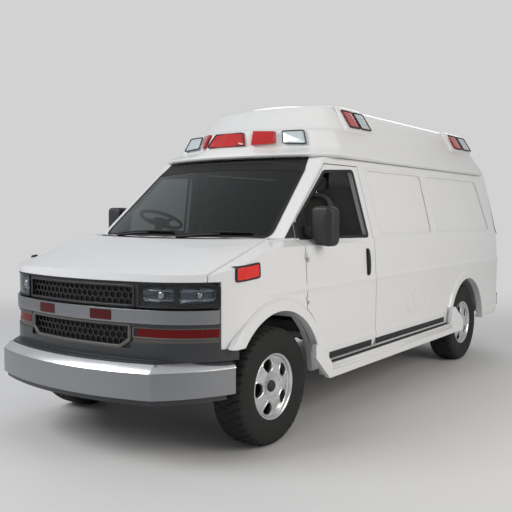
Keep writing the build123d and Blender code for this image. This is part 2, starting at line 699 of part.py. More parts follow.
def seats():
    base = block(seat_x - 190, seat_x + 190, 820, 1260, floor_z, 940)
    cushion = side_prism(((780, 940), (780, 1060), (830, 1090), (1180, 1070), (1260, 940)), seat_x - 245, seat_x + 245)
    back = side_prism(((1160, 1050), (1225, 1680), (1330, 1680), (1330, 1010), (1180, 1000)),
                      seat_x - 240, seat_x + 240)
    rest = block(seat_x - 130, seat_x + 130, 1235, 1335, 1700, 1830)
    stalk = block(seat_x - 60, seat_x + 60, 1270, 1300, 1670, 1710)
    return both(Part() + base + cushion + back + rest + stalk)


def steering_wheel():
    ring = Torus(163, 11)
    spokes = Box(326, 36, 12) + Pos(0, 80, 0) * Box(32, 160, 12)
    hub = Pos(0, 0, -10) * Cylinder(52, 44)
    wheel = ring + spokes + hub
    return Pos(*steering_centre) * Rot(-steering_tilt, 0, 0) * wheel


def steering_column():
    rod = Pos(0, 0, -130) * Cylinder(30, 195.4)
    return Pos(*steering_centre) * Rot(-steering_tilt, 0, 0) * rod


def patient_fittings():
    rear_y, well_y = body_rear_y - 225, wheelbase - 549
    bench = block(-940, -480, wheelbase - 709, rear_y, floor_z, 1120)
    cabinet = block(500, 960, 1480, rear_y, 1150, 1890)
    cabinet += block(500, 960, 1480, well_y, floor_z, 1150)
    bench -= rod_x(-1000, -rear_well_x + liner + running_gap, wheelbase, axle_z, rear_arch_radius + liner + running_gap)
    return Part() + bench, (Part() + cabinet) & inner_form(wall, 1400, corner_y - 45, floor_z, gutter_z)


def cowl():
    # vented panel between the hood's rear edge and the windshield frame it sits under
    z0, z1 = glass_base_z - 22, glass_base_z
    front = ThreePointArc((-770, 52, z0), (0, -40, z0), (770, 52, z0))
    rear = ThreePointArc((770, 200, z0), (0, 50, z0), (-770, 200, z0))
    sides = [Line((770, 52, z0), (770, 200, z0)), Line((-770, 200, z0), (-770, 52, z0))]
    face = Face(Wire([front, sides[0], rear, sides[1]]))
    panel = Part() + Solid.extrude(face, Vector(0, 0, z1 - z0))
    return panel - (block(-800, 800, -100, 300, z1 - 6, z1 + 5) - glass_prism(-2))


# ---- underbody -----------------------------------------------------------------------
rail_x = 400
rail_half = 35
rail_z = (500, 600)
rail_rear_y = body_rear_y - 55
cross_member_y = (-640, 420, 1300, 2300, wheelbase - 429, wheelbase + 471, rail_rear_y - 40)
mount_y = (520, 1300, 2300, wheelbase + 471)


def chassis_frame():
    rails = both(block(rail_x - rail_half, rail_x + rail_half, -960, rail_rear_y, *rail_z)) & bumper_prism(bumper_depth, 400, 700)
    rails += both(block(rail_x - rail_half, rail_x + rail_half, -500, rail_rear_y, *rail_z))
    frame = Part() + rails
    for y in cross_member_y:
        frame += block(-rail_x, rail_x, y - 40, y + 40, rail_z[0] + 10, rail_z[1] - 10)
    for y in mount_y:
        frame += both(rod_z(rail_x, y, rail_z[1] - 5, floor_z - floor_thickness, 40))
    frame += both(rod_z(rail_x, -640, rail_z[1] - 5, 640, 40))
    return frame


def front_suspension():
    member = block(-350, 350, -60, 60, 395, rail_z[0]) + both(block(330, 470, -60, 60, 460, rail_z[0]))
    lower = both(plan_prism(((300, -110), (300, 110), (steer_axis_x, 22), (steer_axis_x, -22)), 300, 330))
    upper = both(plan_prism(((436, -80), (436, 80), (steer_axis_x, 22), (steer_axis_x, -22)), 520, 545))
    post = both(block(300, 350, -60, 60, 300, 400))
    tower = both(block(436, 470, -60, 60, 460, 545))
    pins = both(rod_z(steer_axis_x, 0, 300, 345, 22) + rod_z(steer_axis_x, 0, 505, 545, 22))
    return Part() + member + lower + upper + post + tower + pins


def knuckle():
    x = steer_axis_x
    upright = block(x - 24, x + 24, -34, 34, 345 + running_gap, 505 - running_gap)
    drum = rod_x(x + 23, track_half + hub_face_x, 0, axle_z, 62)
    disc = rod_x(x + 34, x + 60, 0, axle_z, 150)
    return Part() + upright + drum + disc


def rear_axle():
    tube = rod_x(-track_half + 30, track_half - 30, wheelbase, axle_z, 55)
    diff = Pos(0, wheelbase, axle_z) * Sphere(165)
    drums = both(rod_x(track_half - 80, track_half + hub_face_x, wheelbase, axle_z, 62)
                 + rod_x(track_half - 70, track_half + 10, wheelbase, axle_z, 150))
    shaft = rod_y(0, 700, wheelbase - 100, axle_z + 30, 45)
    leaf = side_prism(((wheelbase - 720, 470), (wheelbase - 720, 485), (wheelbase - 100, 462), (wheelbase + 100, 462),
                       (wheelbase + 720, 485), (wheelbase + 720, 470), (wheelbase + 100, 430),
                       (wheelbase - 100, 430)), rail_x - 32, rail_x + 32)
    shackle = block(rail_x - 32, rail_x + 32, wheelbase - 720, wheelbase - 680, 470, rail_z[0])
    shackle += block(rail_x - 32, rail_x + 32, wheelbase + 680, wheelbase + 720, 470, rail_z[0])
    return Part() + tube + diff + drums + shaft + both(leaf + shackle)


def engine_block():
    engine = block(-250, 250, -480, 200, 500, 1090) + block(-190, 190, 190, 262, 440, 800)
    gearbox = block(-150, 150, 190, 700, 330, rail_z[0] + 10)
    return Part() + engine + gearbox


def fuel_tank():
    return block(-350, -120, cross_member_y[2] + 40, cross_member_y[3] - 40, 380, 570)


def running_board():
    # outer rail with raised ends, the step behind it and the plate under the sill
    ramp_y, tail_y = wheelbase - 559, wheelbase - 227
    rail = side_prism(((369, 611), (430, 611), (592, 452), (ramp_y, 452), (ramp_y + 40, 600), (ramp_y + 115, 600), (tail_y, 449),
                       (tail_y, 350), (556, 350), (369, 520)), step_inner_x, step_outer_x)
    step = side_prism(((620, 350), (620, 440), (ramp_y - 10, 440), (ramp_y - 10, 350)), body_half[2][0] + 1, step_inner_x)
    plate = block(930, step_inner_x, 620, ramp_y - 10, 350, sill_z)
    return Part() + rail + step + plate


def rear_bumper():
    near_y, mid_y, far_y = body_rear_y + running_gap, body_rear_y + 75, wheelbase + rear_overhang
    outline = ((-985, near_y), (985, near_y), (985, mid_y), (940, far_y), (-940, far_y), (-985, mid_y))
    beam = plan_prism(outline, 470, 600)
    return beam


def tail_lamps():
    lamp = block(880, 960, body_rear_y, body_rear_y + 16, 1284, 1900)
    return both(lamp & inner_form(4, body_rear_y, body_rear_y + 16, 1284, 1900))


def door_fittings():
    front_y, back_y = mirror_y
    outer_x = mirror_section[3][0]
    plan = ((900, front_y), (outer_x - 30, front_y), (outer_x, front_y + 35), (outer_x, back_y), (900, back_y))
    head = front_prism(mirror_section, *mirror_y, radius=10) & plan_prism(plan, 1200, 1600)
    (low_y, low_z), (front_low_y, _), corner, top, knee = (front_window_outline[i] for i in (1, 0, 2, 3, 4))
    rise = (top[1] - knee[1]) / (top[0] - knee[0])
    sill_rise = (low_z - front_window_outline[0][1]) / (low_y - front_low_y)
    sail = ((front_low_y, front_window_outline[0][1]), (sail_rear_y, front_window_outline[0][1] + sill_rise * (sail_rear_y - front_low_y)),
            (sail_rear_y, knee[1] + rise * (sail_rear_y - knee[0])), knee)
    sail = side_prism(sail, 700, 1200) & side_band(300, 600, 12, 32)
    arm = block(876, mirror_section[0][0] + 5, sail_rear_y - 44, sail_rear_y - 6, 1350, 1420)
    handle = side_band(1226, 1262, -26, -0.1) & block(900, 1100, 1226, 1262, 1029, 1239)
    return Part() + head + arm + sail, handle


# ---- assembly ------------------------------------------------------------------------
def build_shell():
    side_left = side_panel()
    side_right = mirrored(side_left)
    side_left = side_left - side_recesses()
    door_front = side_door_outline(side_door_y[0], side_door_y[1] - panel_gap / 2)
    door_rear = side_door_outline(side_door_y[1] + panel_gap / 2, side_door_y[2])
    opening = side_door_outline(side_door_y[0], side_door_y[2])
    front_leaf, front_knuckle = side_hinge(side_door_y[0] + 4, 1)
    rear_leaf, rear_knuckle = side_hinge(side_door_y[2] - 4, -1)
    side_right -= mirrored(outline_prism(opening, panel_gap, 500, 1200))
    side_right += mirrored(Part() + front_knuckle + rear_knuckle)
    save("cab_frame", cab_frame())
    save("side_panel_left", side_left)
    save("side_panel_right", side_right)
    save("rear_frame", rear_frame())
    save("side_door_front", mirrored(body_door(door_front, 1400, 2700) + front_leaf))
    save("side_door_rear", mirrored(body_door(door_rear, 1400, 2700) + rear_leaf))
    leaf, knuckle = side_hinge(front_door_hinge_y, 1)
    door = body_door(front_door_outline, 200, 1400) - side_prism(front_window_outline, 500, 1200)
    door = door - arch_cut(0, arch_radius + flare_width + 8, 500, 1200) + leaf
    wing = fender() + knuckle
    save("front_door_left", door)
    save("front_door_right", mirrored(door))
    save("rear_door_left", rear_door())
    save("rear_door_right", mirrored(rear_door()))
    save("rear_glass_left", rear_glass())
    save("rear_glass_right", mirrored(rear_glass()))
    save("windshield", windshield())
    save("fender_left", wing)
    save("fender_right", mirrored(wing))
    save("hood", hood())
    save("roof_cap", roof_cap())


def build_inside():
    save("floor_pan", floor_pan())
    save("bulkhead", bulkhead())
    save("dashboard", dashboard() + steering_column() - steering_wheel())
    save("seats", seats())
    save("steering_wheel", steering_wheel())
    bench, cabinet = patient_fittings()
    save("squad_bench", bench)
    save("cabinets", cabinet)
    trim = side_band(200, 345, -quarter_trim, 0) & outline_prism(quarter_outline, 0, 500, 1200)
    save("quarter_trims", both(trim))
    save("cowl", cowl())
    save("tail_lamps", tail_lamps())
    mirror_unit, handle = door_fittings()
    save("door_fittings_left", Part() + mirror_unit + handle)
    save("door_fittings_right", mirrored(Part() + mirror_unit + handle))


def build_underbody():
    save("chassis_frame", chassis_frame())
    save("front_suspension", front_suspension())
    save("knuckle_left", knuckle())
    save("knuckle_right", mirrored(knuckle()))
    save("rear_axle", rear_axle())
    save("engine_block", engine_block())
    save("fuel_tank", fuel_tank())
    save("running_boards", both(running_board()))
    save("rear_bumper", rear_bumper())


def build_lamps():
    thin, thick = cap_layer(0, lamp_thickness), cap_layer(0, red_lamp_thickness)
    on_pod = cap_layer(pod_height, pod_height + lamp_thickness)
    red = thin & (front_lamp(centre_lamp) + both(rear_lamp(300, 520)))
    red = red + (thick & both(front_lamp(red_front_lamp))) + (on_pod & side_lamps(red_side_lamp))
    clear = thin & (both(front_lamp(clear_front_lamp)) + rear_lamp(-130, 130))
    clear += on_pod & side_lamps(clear_side_lamp)
    save("roof_lamps_red", red)
    save("roof_lamps_clear", clear)


def build_nose():
    save("headlamps", headlamps())
    save("grille", grille())
    save("grille_bar", grille_bar())
    save("marker_lamps", front_markers())
    save("front_bumper", front_bumper())
    cover, lip, lamp_frame = bumper_cover()
    save("bumper_cover", Part() + cover + lip + lamp_frame)
    save("nose_carrier", nose_carrier())


def build_wheels():
    for side, x in (("left", track_half), ("right", -track_half)):
        turn = 1 if x > 0 else -1
        for end, y in (("front", 0), ("rear", wheelbase)):
            place = Pos(x, y, axle_z) * Rot(0, 0, 0 if turn > 0 else 180)
            save(f"tyre_{end}_{side}", place * tyre())
            save(f"rim_{end}_{side}", place * rim())


build_shell()
build_inside()
build_underbody()
build_lamps()
build_nose()
build_wheels()
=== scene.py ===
import json
import math

import bmesh
import bpy
import numpy as np
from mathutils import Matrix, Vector


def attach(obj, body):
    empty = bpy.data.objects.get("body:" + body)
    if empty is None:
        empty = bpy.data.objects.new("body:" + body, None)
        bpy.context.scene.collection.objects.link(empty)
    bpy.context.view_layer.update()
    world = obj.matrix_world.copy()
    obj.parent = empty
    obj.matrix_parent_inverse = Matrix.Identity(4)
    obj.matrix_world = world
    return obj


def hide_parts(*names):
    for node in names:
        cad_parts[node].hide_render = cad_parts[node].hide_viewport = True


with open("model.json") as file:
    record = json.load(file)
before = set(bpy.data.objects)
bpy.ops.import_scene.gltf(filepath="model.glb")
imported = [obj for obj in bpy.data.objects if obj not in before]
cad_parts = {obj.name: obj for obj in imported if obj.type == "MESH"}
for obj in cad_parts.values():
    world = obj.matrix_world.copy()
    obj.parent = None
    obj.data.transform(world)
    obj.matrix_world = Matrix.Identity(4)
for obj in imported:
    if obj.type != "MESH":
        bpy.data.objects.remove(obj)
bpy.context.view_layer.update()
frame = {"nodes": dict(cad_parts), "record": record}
nodes = frame["nodes"]
bodyOf = {node: body for body, held in frame["record"]["behaviour"]["bodies"].items() for node in held}
axleY = -1.782                              # the front axle's place along Y, in metres
tagOf, lowTagOf = {1: "Left", -1: "Right"}, {1: "left", -1: "right"}
sideOut, frontOut, cornerOut, wallOut = (1, 0, 0), (0, -1, 0), (0.4, -1, 0), (0.97, 0, 0.21)
print("frame loaded:", len(nodes), "nodes")


# colours and materials

def linear(hexColour):
    # sRGB hex to linear light, channel by channel
    c = np.array([int(hexColour[i:i + 2], 16) for i in (1, 3, 5)]) / 255.0
    return (*np.where(c <= 0.04045, c / 12.92, ((c + 0.055) / 1.055) ** 2.4).tolist(), 1.0)


def addNode(tree, kind, settings=None, links=None):
    # one node with its settings, and links as {input: (node, output)}
    node = tree.nodes.new(kind)
    for key, value in (settings or {}).items():
        if isinstance(key, str) and hasattr(node, key):
            setattr(node, key, value)
        else:
            node.inputs[key].default_value = value
    for key, (source, output) in (links or {}).items():
        tree.links.new(source.outputs[output], node.inputs[key])
    return node


def startMaterial(name, **sockets):
    # an empty material with its shader, and the link to its Object coordinates; a socket's name has _ for
    # a space
    material = bpy.data.materials.new(name)
    material.use_nodes = True
    tree = material.node_tree
    tree.nodes.clear()
    shader = addNode(tree, "ShaderNodeBsdfPrincipled")
    for key, value in sockets.items():
        shader.inputs[key.replace("_", " ")].default_value = value
    addNode(tree, "ShaderNodeOutputMaterial", links={"Surface": (shader, "BSDF")})
    return material, tree, shader, {"Vector": (addNode(tree, "ShaderNodeTexCoord"), "Object")}


def paint(tree, shader, colours, share, height=None, depthMm=0.0, strength=1.0):
    # the colour runs between two as the share does, and the relief follows a height of that real depth
    tint = addNode(tree, "ShaderNodeMix", {"data_type": "RGBA", 6: linear(colours[0]), 7: linear(colours[1])},
                   {0: share})
    tree.links.new(tint.outputs[2], shader.inputs["Base Color"])
    if height:
        bump = addNode(tree, "ShaderNodeBump", {"Strength": strength, "Distance": depthMm / 1000},
                       {"Height": height})
        tree.links.new(bump.outputs["Normal"], shader.inputs["Normal"])
        return bump


def perMetre(sizeMm):
    # a noise's scale for a feature of that real size
    return 1000.0 / sizeMm


def stripes(widthMm):
    # a wave's scale for stripes of that real width
    return perMetre(widthMm) / 6.283


def surface(name, colour, second, patchMm, grainMm, grainDepthMm, rough, roughSpread=0.06, edgeMm=2.5,
            stretch=(1, 1, 1), **sockets):
    # the common build: two colours in soft patches, roughness that wanders with them, a grain in
    # relief, and edges softened by a small radius
    material, tree, shader, here = startMaterial(name, **sockets)
    mapped = {"Vector": (addNode(tree, "ShaderNodeMapping", {"Scale": stretch}, here), "Vector")}
    patch = addNode(tree, "ShaderNodeTexNoise", {"Scale": perMetre(patchMm), "Detail": 5.0, "Roughness": 0.6},
                    mapped)
    grain = addNode(tree, "ShaderNodeTexNoise", {"Scale": perMetre(grainMm), "Detail": 3.0}, mapped)
    spread = {"From Min": 0.3, "From Max": 0.7, "To Min": rough - roughSpread, "To Max": rough + roughSpread}
    wander = addNode(tree, "ShaderNodeMapRange", spread, {"Value": (patch, "Fac")})
    tree.links.new(wander.outputs["Result"], shader.inputs["Roughness"])
    bump = paint(tree, shader, (colour, second), (patch, "Fac"), (grain, "Fac"), grainDepthMm)
    if edgeMm:
        edge = addNode(tree, "ShaderNodeBevel", {"samples": 4, "Radius": edgeMm / 1000})
        tree.links.new(edge.outputs["Normal"], bump.inputs["Normal"])
    return material


def lens(name, colour, deep, ribMm, ribDepthMm, rough=0.12, coat=0.8, **sockets):
    # a moulded lamp lens: fine upright ribs in relief, darker between the prisms
    material, tree, shader, here = startMaterial(name, Roughness=rough, Coat_Weight=coat, Coat_Roughness=0.03,
                                                 **sockets)
    upright = {"bands_direction": "X", "Scale": stripes(ribMm), "Distortion": 0.0}
    ribs = addNode(tree, "ShaderNodeTexWave", upright, here)
    cloud = addNode(tree, "ShaderNodeTexNoise", {"Scale": perMetre(70), "Detail": 2.0}, here)
    share = addNode(tree, "ShaderNodeMath", {"operation": "MULTIPLY"}, {0: (ribs, "Fac"), 1: (cloud, "Fac")})
    paint(tree, shader, (deep, colour), (share, "Value"), (ribs, "Fac"), ribDepthMm)
    return material


def glass(name, colour, second, patchMm, detail, ior, waveMm=0):
    # a clear sheet: two near tints in wide patches, and a slow wave in the gloss where it has one
    material, tree, shader, here = startMaterial(name, Roughness=0.02, IOR=ior, Transmission_Weight=1.0)
    patch = addNode(tree, "ShaderNodeTexNoise", {"Scale": perMetre(patchMm), "Detail": detail}, here)
    paint(tree, shader, (colour, second), (patch, "Fac"), (patch, "Fac") if waveMm else None, waveMm, 0.3)
    return material


def wovenCloth(name, colour, second, warpMm, weftMm, reliefMm, **sockets):
    # two crossed waves multiplied: the warp's ribs, broken by the weft, in colour and in relief
    material, tree, shader, here = startMaterial(name, **sockets)
    warp, weft = (addNode(tree, "ShaderNodeTexWave", {"bands_direction": way, "Scale": stripes(size),
                                                      "Distortion": wander}, here)
                  for way, size, wander in (("X", warpMm, 0.6), ("DIAGONAL", weftMm, 1.0)))
    weave = addNode(tree, "ShaderNodeMath", {"operation": "MULTIPLY"}, {0: (warp, "Fac"), 1: (weft, "Fac")})
    paint(tree, shader, (colour, second), (weave, "Value"), (weave, "Value"), reliefMm, 0.8)
    return material


# white two-part enamel under clear coat, sprayed on sheet steel: almost even, with the panels' faint
# waviness in the gloss
enamelWhite = surface("enamelWhite", "#E3E4E5", "#DFE0E1", 900, 450, 0.35, 0.30, 0.03, 5.0,
                      Coat_Weight=0.55, Coat_Roughness=0.06)
# the same enamel on the fibreglass roof: a little warmer and softer over its mould marks
enamelRoof = surface("enamelRoof", "#E3E4E4", "#DEDFDE", 900, 450, 0.35, 0.34, 0.03, 0,
                     Coat_Weight=0.45, Coat_Roughness=0.1)
# the bumper's top slope, over its brushed face: the same steel painted near white, a painted highlight of the
# light falling on the top
bumperPaintedHighlight = surface("bumperPaintedHighlight", "#EDEEF0", "#E4E6E8", 220, 20, 0.002, 0.26, 0.04, 0, Metallic=1.0)
# textured polypropylene, injection moulded: dull charcoal with a leathery grain
mouldedBlack = surface("mouldedBlack", "#1B1C1E", "#26272A", 60, 1.6, 0.12, 0.52)
# painted polycarbonate of the bumper cover: smooth satin charcoal
coverCharcoal = surface("coverCharcoal", "#26282B", "#303236", 240, 2.2, 0.03, 0.42, 0.06, 6.0,
                        Coat_Weight=0.15)
# warm grey moulded frame round the lower grille
frameGrey = surface("frameGrey", "#4B4A46", "#5A5853", 90, 1.8, 0.06, 0.48)
# extruded rubber: near black, soft sheen
sealRubber = surface("sealRubber", "#0D0D0E", "#151516", 30, 1.2, 0.05, 0.6, 0.06, 0)
# brushed and lacquered steel of bumper and bar: long streaks along the vehicle's width; its grey is darkened as
# painted shade, a dark reflection painted into the face
brushedSteelPaintedShade = surface("brushedSteelPaintedShade", "#8B8D90", "#97999C", 60, 6, 0.004, 0.30, 0.04, 4.0,
                       stretch=(0.03, 0.03, 1.0), Metallic=1.0)
# bright plated steel: mirror reflectors and trim
platedBright = surface("platedBright", "#D9DADC", "#CFD0D3", 200, 6, 0.004, 0.08, 0.03, 1.5, Metallic=1.0)
# cast aluminium wheel, machined and lacquered: silver with faint turning marks
wheelSilver = surface("wheelSilver", "#D4D5D6", "#DCDDDE", 160, 30, 0.002, 0.24, 0.03, 0, Metallic=0.9,
                      Coat_Weight=0.3)
# sidewall and tread rubber: matte black with greyish dust
tyreRubber = surface("tyreRubber", "#121212", "#1B1A19", 45, 2.4, 0.12, 0.78, 0.06, 0)
# cast iron of axle and hubs: dark with rusty brown patches
castIron = surface("castIron", "#1D1C1B", "#33281F", 70, 2.0, 0.25, 0.8)
# chassis paint: black, dusty on top
chassisBlack = surface("chassisBlack", "#141414", "#211F1D", 120, 2.2, 0.15, 0.62)
# painted sheet steel inside: satin grey with slight mottling
innerGrey = surface("innerGrey", "#7E7F7D", "#8C8D8A", 160, 3.0, 0.04, 0.5)
# melamine cabinet fronts: off-white, even
cabinetWhite = surface("cabinetWhite", "#D2D2CC", "#DCDCD6", 300, 3.0, 0.02, 0.4)
# vinyl skin of the dashboard: dark blue grey with leather grain
dashVinyl = surface("dashVinyl", "#161B22", "#1E242D", 50, 1.5, 0.15, 0.55)
# black leather-grain urethane of the steering wheel
wheelUrethane = surface("wheelUrethane", "#121213", "#1C1C1D", 30, 1.2, 0.08, 0.42)
# moulded acrylic of the roof lamps: clear warning red, ribs catching light
redLens = lens("redLens", "#DE2A26", "#A81214", 9, 0.25)
# the front lamps' acrylic, unlit: deep dull red
deepRedLens = lens("deepRedLens", "#74080D", "#5A060A", 9, 0.1, 0.35, coat=0.0, Specular_IOR_Level=0.2)
# ribbed clear acrylic over a plated reflector: pale blue grey that flashes
clearOverReflector = lens("clearOverReflector", "#E2EAEC", "#BAC6C9", 9, 0.3, 0.12, Metallic=0.2)
# the side markers' acrylic: bright orange red
markerRed = lens("markerRed", "#EE2A1C", "#D51F14", 9, 0.1, 0.3, coat=0.3)
# moulded acrylic reflectors on the bar: dull dark red
reflectorRed = lens("reflectorRed", "#561319", "#450E13", 9, 0.1, 0.4, coat=0.0, Specular_IOR_Level=0.2)
# tail lamp acrylic over its bulbs: clear deep red
tailRed = lens("tailRed", "#8E1214", "#5E0A0C", 9, 0.15, 0.2, coat=0.5)
# vacuum-plated reflector behind a smoked lens: darker than bare chrome
smokedReflector = surface("smokedReflector", "#6F7277", "#8B8E94", 40, 5, 0.05, 0.16, 0.05, 1.0, Metallic=1.0)
# laminated tinted windshield: dark, slightly green, sharp reflections with a hint of waviness
tintedGlass = glass("tintedGlass", "#4C5855", "#586562", 350, 1.0, 1.5, 0.4)
# clear polycarbonate headlamp lens, injection moulded: a faint blue cast and almost no haze
clearLens = glass("clearLens", "#C9D2D8", "#D8DEE2", 120, 2.0, 1.45)
# woven polyester seat cloth: dark grey, ribs about 5 mm apart, drawn twice as coarse to show
seatFabric = wovenCloth("seatFabric", "#514F4B", "#615E59", 10, 7, 0.5, Roughness=0.9, Sheen_Weight=0.35,
                        Sheen_Roughness=0.5)
print("materials made")

# which finish the CAD nodes get, by the start of their names; a later row wins
finishOf = {
    enamelWhite: "cab_frame side_ rear_frame fender hood front_door rear_door running_boards",
    enamelRoof: "roof_cap",
    tintedGlass: "windshield rear_glass",
    mouldedBlack: "cowl grille nose_carrier door_fittings rear_bumper quarter_trims fuel_tank",
    coverCharcoal: "bumper_cover",
    brushedSteelPaintedShade: "front_bumper grille_bar",
    deepRedLens: "marker_lamps tail_lamps",
    redLens: "roof_lamps_red",
    clearOverReflector: "roof_lamps_clear headlamps",
    innerGrey: "floor_pan bulkhead squad_bench",
    cabinetWhite: "cabinets",
    dashVinyl: "dashboard",
    wheelUrethane: "steering_wheel",
    seatFabric: "seats",
    chassisBlack: "chassis_frame front_suspension",
    castIron: "knuckle rear_axle engine_block",
    tyreRubber: "tyre",
    wheelSilver: "rim",
}
finished = set()
for finish, starts in finishOf.items():
    for name in nodes:
        if name.startswith(tuple(starts.split())):
            nodes[name].data.materials.clear()
            nodes[name].data.materials.append(finish)
            finished.add(name)
print("CAD nodes finished, without one:", sorted(set(nodes) - finished))


# shapes as whole arrays

def metres(points):
    # millimetres measured from the front axle, to metres in the frame
    return np.asarray(points, float).reshape(-1, 3) * 0.001 + np.array([0.0, axleY, 0.0])


def unit(vectors):
    # each vector over its own length
    return vectors / np.maximum(np.linalg.norm(vectors, axis=-1, keepdims=True), 1e-9)


def xyz(x, y, z):
    # points from three arrays or numbers that fit each other
    return np.stack(np.broadcast_arrays(x, y, z), -1)


def circle(count):
    # even angles once round, without the last
    return np.linspace(0, 2 * np.pi, count, endpoint=False)


def net(u, v):
    # two parameters over a grid, each an array or (from, to, count)
    return np.meshgrid(*(np.linspace(*w) if isinstance(w, tuple) else w for w in (u, v)), indexing="ij")


def ramp(value, start, width):
    # 0 before start, 1 a width after it, straight between
    return np.clip((value - start) / width, 0, 1)


def peak(value, middle, width):
    # 1 in the middle, falling straight to 0 a width away
    return np.clip(1 - np.abs(value - middle) / width, 0, 1)


def dome(u, v, power):
    # 0 along the edges of a unit square, 1 in its middle; a smaller power gives steeper edges
    return np.clip(16 * u * (1 - u) * v * (1 - v), 0, 1) ** power


def along(corners, per, closed=True):
    # even steps along the straight lines between corners
    c = np.asarray(corners, float)
    return np.concatenate([np.linspace(c[i], c[(i + 1) % len(c)], per, endpoint=False)
                           for i in range(len(c) if closed else len(c) - 1)])


def roundCorners(points, radius, steps=4, closed=True):
    # each corner becomes the curve (1-t)^2 a + 2t(1-t) corner + t^2 b, where a and b lie a radius away
    p = np.asarray(points, float)
    towards = [np.roll(p, 1, 0) - p, np.roll(p, -1, 0) - p]
    a, b = (p + unit(v) * np.minimum(radius, 0.45 * np.linalg.norm(v, axis=-1, keepdims=True)) for v in towards)
    t = np.linspace(0, 1, steps).reshape((1, steps) + (1,) * (p.ndim - 1))
    curve = (1 - t) ** 2 * a[:, None] + 2 * t * (1 - t) * p[:, None] + t ** 2 * b[:, None]
    if closed:
        return curve.reshape((-1,) + p.shape[1:])
    return np.concatenate([p[:1], curve[1:-1].reshape((-1,) + p.shape[1:]), p[-1:]])


def gridFaces(rows, cols, wrapRows=False, wrapCols=False):
    # four-cornered faces between neighbouring rows and columns
    r = np.arange(rows if wrapRows else rows - 1)[:, None]
    c = np.arange(cols if wrapCols else cols - 1)[None, :]
    nextRow, nextCol = (r + 1) % rows, (c + 1) % cols
    return np.stack(np.broadcast_arrays(r * cols + c, r * cols + nextCol, nextRow * cols + nextCol,
                                        nextRow * cols + c), -1).reshape(-1, 4)


def repeatFaces(faces, copies, points):
    # the same faces for each of several equal grids
    return (faces[None] + (np.arange(copies) * points)[:, None, None]).reshape(-1, 4)


def makePiece(name, points, faces, material, body="van", outward=None, slot=None, stands=(), smooth=True):
    # a mesh from a grid of points; its faces are turned outwards, by volume or towards a direction
    flat = np.asarray(points, float).reshape(-1, 3)
    quad = flat[faces]
    normal = np.cross(quad[:, 2] - quad[:, 0], quad[:, 3] - quad[:, 1])
    away = quad.mean(1) - flat.mean(0) if outward is None else np.array(outward, float)
    if (normal * away).sum() < 0:
        faces = faces[:, ::-1]
    mesh = bpy.data.meshes.new(name)
    mesh.from_pydata(metres(flat).tolist(), [], faces.tolist())
    solid = bmesh.new()
    solid.from_mesh(mesh)
    bmesh.ops.remove_doubles(solid, verts=solid.verts, dist=2e-6)
    bmesh.ops.dissolve_degenerate(solid, edges=solid.edges, dist=1e-6)
    solid.to_mesh(mesh)
    solid.free()
    mesh.polygons.foreach_set("use_smooth", np.full(len(mesh.polygons), smooth))
    for finish in (material if isinstance(material, (list, tuple)) else [material]):
        mesh.materials.append(finish)
    piece = bpy.data.objects.new(name, mesh)
    bpy.context.scene.collection.objects.link(piece)
    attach(piece, body)
    if stands:
        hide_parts(*stands)
    return piece


def gridPiece(name, grid, material, outward=None, wrapRows=False, wrapCols=False, **rest):
    # a piece whose points form one grid: a sheet that faces outward, or else closed round its columns
    faces = gridFaces(*grid.shape[:2], wrapRows, wrapCols or outward is None)
    return makePiece(name, grid, faces, material, outward=outward, **rest)


def giveWall(piece, thickness):
    # turns a sheet into a wall, that many metres inwards
    wall = piece.modifiers.new("wall", "SOLIDIFY")
    wall.thickness, wall.offset = thickness, -1


def capped(grid):
    # closes both ends of a grid with a row at the end's middle
    ends = [np.broadcast_to(row.mean(1, keepdims=True), row.shape) for row in (grid[:1], grid[-1:])]
    return np.concatenate([ends[0], grid, ends[1]])


def fan(ring):
    # closes a flat ring with a row at its middle
    return np.stack([ring, np.broadcast_to(ring.mean(0), ring.shape)])


def sweep(profile, path, out, closed):
    # a profile of (side, out) pairs carried along a path; side is across the path in the surface
    path, profile = np.asarray(path, float), np.asarray(profile, float)
    out = np.broadcast_to(np.asarray(out, float), path.shape)
    ahead = np.roll(path, -1, 0) - np.roll(path, 1, 0)
    if not closed:
        ahead[0], ahead[-1] = path[1] - path[0], path[-1] - path[-2]
    ahead = unit(ahead)
    side = unit(np.cross(ahead, out))
    out = np.cross(side, ahead)
    grid = path[:, None] + side[:, None] * profile[None, :, :1] + out[:, None] * profile[None, :, 1:]
    return grid if closed else capped(grid)


def trim(name, path, out, width, height, material, closed=True, sink=1.0, **rest):
    # a strip with soft shoulders, carried along a path and sunk a little in what it stands on
    w = width / 2
    bead = [(-w, -sink), (-w, height * 0.55), (-w * 0.72, height * 0.92), (-w * 0.3, height), (w * 0.3, height),
            (w * 0.72, height * 0.92), (w, height * 0.55), (w, -sink)]
    return gridPiece(name, sweep(bead, path, out, closed), material, wrapRows=closed, **rest)


def flip(points, side):
    # the points themselves on the left, and their mirror image on the right
    return np.asarray(points, float) * np.array([side, 1.0, 1.0])


def sidePiece(name, side, grid, material, outward=None, **rest):
    # a grid given for the left, on either side and named for it
    if outward is not None:
        outward = flip(outward, side)
    return gridPiece(name + tagOf[side], flip(grid, side), material, outward=outward, **rest)


def sideTrim(name, side, path, out, width, height, material, **rest):
    # a strip given for the left, on either side and named for it
    return trim(name + tagOf[side], flip(path, side), flip(out, side), width, height, material, **rest)


def bothSides(*builders):
    # each builder on the left, then on the right
    for build in builders:
        build(1)
        build(-1)


def circleThrough(a, b, c):
    # centre and radius of the circle through three points of a plane
    (x1, y1), (x2, y2), (x3, y3) = a, b, c
    m = np.array([[x2 - x1, y2 - y1], [x3 - x1, y3 - y1]], float)
    v = np.array([x2 ** 2 - x1 ** 2 + y2 ** 2 - y1 ** 2, x3 ** 2 - x1 ** 2 + y3 ** 2 - y1 ** 2]) / 2
    centre = np.linalg.solve(m, v)
    return centre, float(np.hypot(*(centre - (x1, y1))))


# the vehicle's own surfaces, as the CAD has them

